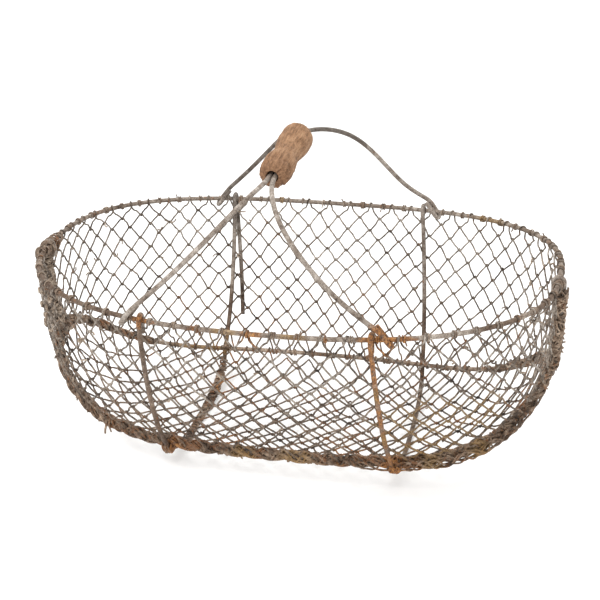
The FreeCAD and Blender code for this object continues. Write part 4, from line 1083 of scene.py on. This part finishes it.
def tail(wires, r, panel, level, i, wire, length, curled):
    """A cut wire end that stands out from one of the netting's joints."""
    joint_along, joint_down = panel.joint(level, i)
    if panel.low(joint_along) - joint_down < 9:
        return
    origin, along, down, out = panel.place(joint_along, joint_down)
    side = r.choice([-1.0, 1.0])
    angle = r.uniform(-0.9, 0.9)
    c, s = math.cos(angle), math.sin(angle)
    place = (origin, along * c * side + down * s, -along * s + down * c * side,
             out * r.choice([-1, 1]))
    if curled:
        q = np.linspace(0, r.uniform(3.0, 5.2), 12)[1:]
        curl = length * 0.28
        ring = np.stack([curl * np.sin(q), curl * (1 - np.cos(q)),
                         1.4 + 0.25 * np.arange(1, 12)], 1)
        points = spline(framed(place, [(0, 0, 0), (0.2, 0, 0.9), *ring]), 2)
    else:
        sway = r.normal(0, 0.8)
        rise = r.uniform(1.0, 3.0)
        points = spline(framed(place, [(-1.0, 0, 0), (1.2, 0, 1.2), (length * 0.55, sway, 1.7),
                                       (length, r.normal(0, 1.2), rise)]), 4)
    wires.tube(points, wire, 6)


def folded_stub(wires, r, panel):
    i, level = int(r.integers(1, 8)), int(r.integers(1, 6))
    origin, along, down, out = panel.place(*panel.joint(level, i))
    angle = r.uniform(0, TURN)
    c, s = math.cos(angle), math.sin(angle)
    place = origin, along * c + down * s, -along * s + down * c, out
    length = r.uniform(4.0, 7.5)
    points = spline(framed(place, [
        (-length / 2, 0, 1.2), (0, 0, 2.2), (length / 2, 1.2, 2.3),
        (length * 0.1, 2.4, 3.0), (-length * 0.4, 1.6, 2.6)]), 5)
    wires.tube(points, r.uniform(1.0, 1.35) * (1 + 0.12 * np.sin(np.arange(len(points)))))


wires = Builder()
r = np.random.default_rng(77)
for count, name, levels, joints, wire, lengths, curl_every in CAUGHT_ENDS:
    for k in range(count):
        tail(wires, r, panels[name], int(r.integers(*levels)), int(r.integers(*joints)), wire,
             r.uniform(*lengths), k % curl_every == 0)
for k in range(11):
    folded_stub(wires, r, panels["front"])
wires.finish("caught_wire_ends", left_finish)


# ------------------------------------------------------------------ ties, ribs to base hoop
def crossing_tie(wires, r, x, front):
    """Turns of wire where a rib crosses the base hoop: thick at the front, neat at the back."""
    y_side = -1 if front else 1
    hoop = np.array([x, y_side * float(hoop_y(x)), float(hoop_z(x))])
    to_rib = unit(np.array([0, -0.62, -0.78] if front else [0, -0.80, 0.60]))
    along_rib = np.array([0, -0.78, 0.62] if front else [0, 0.60, 0.80])
    along_hoop = np.array([1.0, -y_side * 0.15 * math.copysign(1, x), 0])
    middle = hoop + to_rib * BESIDE_HEAVY / 2
    turns = 9 if front else 4
    for k in range(turns):
        slant = along_hoop * (1 if k % 2 else -1) + along_rib * (1 + 0.45 * r.normal())
        slant = square_to(slant, to_rib)
        q = np.linspace(0, TURN * r.uniform(0.95, 1.35), 26)
        size = (1 + 0.22 * r.random()) * 1.18 if front else 1.04
        points = middle + ellipse(q, to_rib, slant, 6.1 * size,
                                  4.5 * size * (1 + 0.15 * np.cos(q) ** 2))
        shift = np.linspace(-1.4, 1.4, 26) + (k - (turns - 1) / 2) * 0.75 + r.normal(0, 0.8)
        points = points + np.cross(to_rib, slant) * shift[:, None]
        wires.tube(points, r.uniform(0.78, 1.05) if front else 0.74)


wires = Builder()
r = np.random.default_rng(17)
for x in (-105.0, 112.6):
    for front in (True, False):
        crossing_tie(wires, r, x, front)
wires.finish("crossing_ties", lacing_finish, replaces="rib_hoop_ties")


# ------------------------------------------------------------------ winding on the left rib
def rib_axis():
    """The left rib's axis under the floor, from back to front, out of the rib's own mesh."""
    rib = nodes["rib_left"]
    verts = np.array([rib.matrix_world @ v.co for v in rib.data.vertices]) / MM
    axis = []
    for y in np.linspace(104.0, -64.0, 57):
        section = verts[(abs(verts[:, 1] - y) < 4.5) & (verts[:, 2] < 75)]
        axis.append(section.mean(0) if len(section) > 3 else (np.nan,) * 3)
    axis = np.array(axis)
    good = ~np.isnan(axis[:, 0])
    stations = np.arange(len(axis))
    axis = points_at(stations, stations[good], axis[good])
    return np.stack([np.convolve(np.pad(axis[:, k], 2, "edge"), np.ones(5) / 5, "valid")
                     for k in range(3)], 1)


wires = Builder()
r = np.random.default_rng(63)
axis = rib_axis()
axis_s = arc_length(axis)
# start, stop, radius, pitch, wire radius
RIB_STRANDS = ((2, 150, 3.3, 5.5, 0.8), (10, 120, 3.5, 9.0, 0.85), (4, 100, 4.0, 14.0, 0.85),
               (30, 168, 3.2, 19.0, 0.8), (16, 92, 4.3, 7.0, 0.8))
for k, (start, stop, radius, pitch, wire) in enumerate(RIB_STRANDS):
    count = int((stop - start) / min(pitch / 15.0, 1.0))
    s = np.linspace(start, min(stop, axis_s[-1] - 1), count)
    centre = points_at(s, axis_s, axis)
    tangent = unit(np.gradient(centre, axis=0))
    across = unit(np.cross(tangent, UP))
    shake = smoothed(r, count, 11)
    angle = TURN * s / pitch * (1 if k % 2 else -1) + k * 1.3 + 0.8 * shake
    far = np.maximum(radius + 0.7 * shake, 2.5 + wire)
    points = centre + ellipse(angle, across, np.cross(across, tangent), far)
    points[:, 2] = np.maximum(points[:, 2], wire + 0.1)    # stays above the ground
    wires.tube(points, wire, 6)
wires.finish("rib_winding", lacing_finish)

# ------------------------------------------------------------------ the grip
GRIP_CENTRE = np.array([-13.2, -3.0, 288.7])
yaw, pitch = math.radians(-3.2), math.radians(7.75)
GRIP_AXIS = np.array([-math.sin(yaw) * math.cos(pitch), math.cos(yaw) * math.cos(pitch),
                      math.sin(pitch)])
GRIP_SIDE = np.array([math.cos(yaw), math.sin(yaw), 0.0])
GRIP_UP = np.cross(GRIP_SIDE, GRIP_AXIS)
GRIP_HALF, GRIP_R, WAIST_R, WAIST_HALF, ROUNDING = 50.0, 15.6, 12.7, 27.0, 9.5
BORE_EDGE_R = 6.04      # wear starts outside this radius
GRIP_SIDES = 176


def grip_profile():
    """Closed outline as (radius, place along the axis): the bore, then the outside."""
    straight = GRIP_HALF - ROUNDING
    corner = [(GRIP_R - ROUNDING + ROUNDING * math.sin(a), straight + ROUNDING * math.cos(a))
              for a in np.radians(np.linspace(0, 90, 13))]
    outline = [(5.5, u) for u in np.linspace(48.2, -48.2, 40)]
    outline += [(5.7, -49.0), (6.0, -49.6)]
    outline += [(radius, -u) for radius, u in corner]
    for u in np.linspace(-straight, straight, 130)[1:-1]:
        dip = 0.5 + 0.5 * math.cos(math.pi * u / WAIST_HALF) if abs(u) < WAIST_HALF else 0.0
        outline.append((GRIP_R - (GRIP_R - WAIST_R) * dip, u))
    return outline + corner[::-1] + [(6.0, 49.6), (5.7, 49.0)]


def worn(radius, u, c, s):
    """Radius and place along the axis after wear, which is heaviest towards the front."""
    if radius <= BORE_EDGE_R:
        return radius, u
    front = max(0.0, min(1.0, (-u - 8) / 40))
    grain = mnoise.fractal(Vector((c * 5.5, s * 5.5, u * 0.045)), 0.8, 2.1, 4)
    crack = abs(mnoise.noise(Vector((c * 9.5 + 4, s * 9.5, u * 0.028))))
    crack = max(0.0, 0.11 - crack) / 0.11
    pit = abs(mnoise.fractal(Vector((c * 7 + 9, s * 7, u * 0.36)), 0.9, 2.2, 4))
    dent = mnoise.noise(Vector((c * 1.7, s * 1.7, u * 0.075 + 3)))
    chip = max(0.0, mnoise.noise(Vector((c * 2.6 + 5, s * 2.6, u * 0.13))) - 0.12)
    edge = min(1.0, (radius - BORE_EDGE_R) / 3.0)
    loss = (0.34 * grain + 0.75 * crack * (0.5 + 0.7 * front) + 0.38 * pit * (0.6 + front)
            + 0.65 * dent + 3.2 * chip * (0.25 + front) + 0.95 * front)
    if abs(u) > 41.0:
        u = u - math.copysign(1.0, u) * edge * max(0.0, 0.5 * pit + 0.9 * chip)
    return radius - max(loss * edge, -0.45), u


def grip_wood():
    wood = Shader("worn_grip_wood")
    calc, noise, ramp, mix = wood.calc, wood.noise, wood.ramp, wood.mix
    # textures lie in the grip's own axes: X side, Y axis, Z up
    mapping = wood.mapping()
    mapping.vector_type = "TEXTURE"
    mapping.inputs["Location"].default_value = tuple(GRIP_CENTRE * MM)
    axes = np.column_stack([GRIP_SIDE, GRIP_AXIS, GRIP_UP])
    mapping.inputs["Rotation"].default_value = Matrix(axes.tolist()).to_euler()
    wood.vector = mapping.outputs[0]
    grain = noise(scale=420, detail=5, rough=0.65, stretch=(1, 0.06, 1))
    fine = noise(scale=1500, detail=3, rough=0.6, stretch=(1, 0.10, 1), offset=(4, 4, 1))
    blotch = noise(scale=75, rough=0.6, offset=(1, 2, 3))
    specks = noise(scale=900, detail=2, rough=0.5, offset=(8, 1, 5))
    colour = ramp(wood.blend(grain, 0.55, blotch, 0.45), [
        (0.34, (0.115, 0.050, 0.021)), (0.44, (0.225, 0.114, 0.052)),
        (0.54, (0.325, 0.178, 0.090)), (0.68, (0.44, 0.270, 0.148))])
    lines = ramp(fine, [(0.36, (0.32, 0.24, 0.18)), (0.47, (1, 1, 1)), (1, (1.15, 1.12, 1.08))])
    colour = mix(0.8, colour, lines, "MULTIPLY")
    # darker from 20 mm in front of the middle (in metres here)
    front = calc("SUBTRACT", calc("MULTIPLY", wood.separate()[1], -1.0), 0.020)
    front = calc("MULTIPLY", front, 30.0, clamp=True)
    patchy = calc("ADD", 0.35, calc("MULTIPLY", blotch, 0.9))
    front = calc("MULTIPLY", front, patchy, clamp=True)
    dark = ramp(grain, [(0.35, (0.075, 0.030, 0.014)), (0.6, (0.24, 0.118, 0.060))])
    colour = mix(calc("MULTIPLY", front, 0.7), colour, dark)
    specks = ramp(specks, [(0.60, 0.0), (0.68, 1.0)])
    colour = mix(calc("MULTIPLY", specks, 0.5), colour, (0.08, 0.045, 0.028))
    wood.surface(colour, roughness=0.82)
    height = wood.blend(fine, 0.7, grain, 0.5)
    height = calc("SUBTRACT", height, calc("MULTIPLY", specks, 0.3))
    wood.bump(height, strength=0.6, distance=0.0006)
    return wood.material


def worn_grip():
    profile = grip_profile()
    count, sides = len(profile), GRIP_SIDES
    verts, faces = [], []
    for i, (radius, u) in enumerate(profile):
        here, ahead = i * sides, (i + 1) % count * sides
        for j in range(sides):
            c, s = math.cos(TURN * j / sides), math.sin(TURN * j / sides)
            far, place = worn(radius, u, c, s)
            verts.append(GRIP_CENTRE + GRIP_SIDE * (far * c) + GRIP_UP * (far * s)
                         + GRIP_AXIS * place)
            k = (j + 1) % sides
            faces.append((here + j, here + k, ahead + k, ahead + j))
    grip = Builder()
    grip.add(np.array(verts), faces)
    grip.finish("worn_grip", grip_wood(), replaces="handle_grip", slot="grip_wood", body="grip")


worn_grip()


# ------------------------------------------------------------------ stage, light, camera (metres)
def pale_paper():
    paper = Shader("pale_paper")
    mottle = paper.noise(scale=60, detail=3, rough=0.5)
    colour = paper.ramp(mottle, [(0.3, (0.90, 0.90, 0.897)), (0.7, (0.93, 0.93, 0.927))])
    paper.surface(colour, roughness=0.95)
    paper.bsdf.inputs["Emission Color"].default_value = (1, 1, 1, 1)
    paper.bsdf.inputs["Emission Strength"].default_value = 0.10
    return paper.material


def studio_floor():
    """A sheet that lies just under z = 0 and curves up behind the basket."""
    half_width, sweep, sweep_y, drop = 4, 0.6, 1.2, 0.0006
    profile = [(-3.0, 0.0)]
    for a in range(0, 91, 6):
        profile.append((sweep_y + sweep * math.sin(math.radians(a)),
                        sweep - sweep * math.cos(math.radians(a))))
    profile.append((sweep_y + sweep, 3.2))
    verts = [(x, y, z - drop) for y, z in profile for x in (-half_width, half_width)]
    faces = [(2 * i, 2 * i + 1, 2 * i + 3, 2 * i + 2) for i in range(len(profile) - 1)]
    smooth_object("studio_floor", "studio_floor_mesh", verts, faces, pale_paper())


def area_light(name, location, aim_z, size, power):
    """Rectangular light aimed at a point on the Z axis."""
    data = bpy.data.lights.new(name, "AREA")
    data.shape = "RECTANGLE"
    data.size, data.size_y = size
    data.energy = power
    light = bpy.data.objects.new(name, data)
    bpy.context.scene.collection.objects.link(light)
    light.location = location
    aim = Vector((0, 0, aim_z)) - Vector(location)
    light.rotation_euler = aim.to_track_quat("-Z", "Y").to_euler()


def add_camera(azimuth, elevation, target, distance, lens):
    """Camera in front of the target, turned azimuth to the right and raised by elevation."""
    turn, rise = math.radians(azimuth), math.radians(elevation)
    back = Vector((math.sin(turn) * math.cos(rise), -math.cos(turn) * math.cos(rise),
                   math.sin(rise)))
    data = bpy.data.cameras.new("camera")
    data.sensor_width = 36.0
    data.lens = lens
    camera = bpy.data.objects.new("camera", data)
    bpy.context.scene.collection.objects.link(camera)
    camera.location = Vector(target) + back * distance
    camera.rotation_euler = (-back).to_track_quat("-Z", "Y").to_euler()
    bpy.context.scene.camera = camera


studio_floor()
world = bpy.data.worlds.new("studio")
bpy.context.scene.world = world
world.use_nodes = True
background = world.node_tree.nodes["Background"]
background.inputs["Color"].default_value = (1.0, 0.998, 0.99, 1)
background.inputs["Strength"].default_value = 0.92
bpy.context.scene.view_settings.view_transform = "Standard"

area_light("key", (-0.9, -1.1, 1.7), aim_z=0.12, size=(1.0, 0.8), power=20)
area_light("fill", (1.4, -0.9, 1.0), aim_z=0.12, size=(1.2, 1.2), power=5)
area_light("top", (0.1, 0.4, 1.9), aim_z=0.1, size=(1.6, 1.2), power=12)
add_camera(azimuth=11.57, elevation=22.01, target=(-0.00043, 0.0, 0.14061),
           distance=1.46811, lens=89.4774)
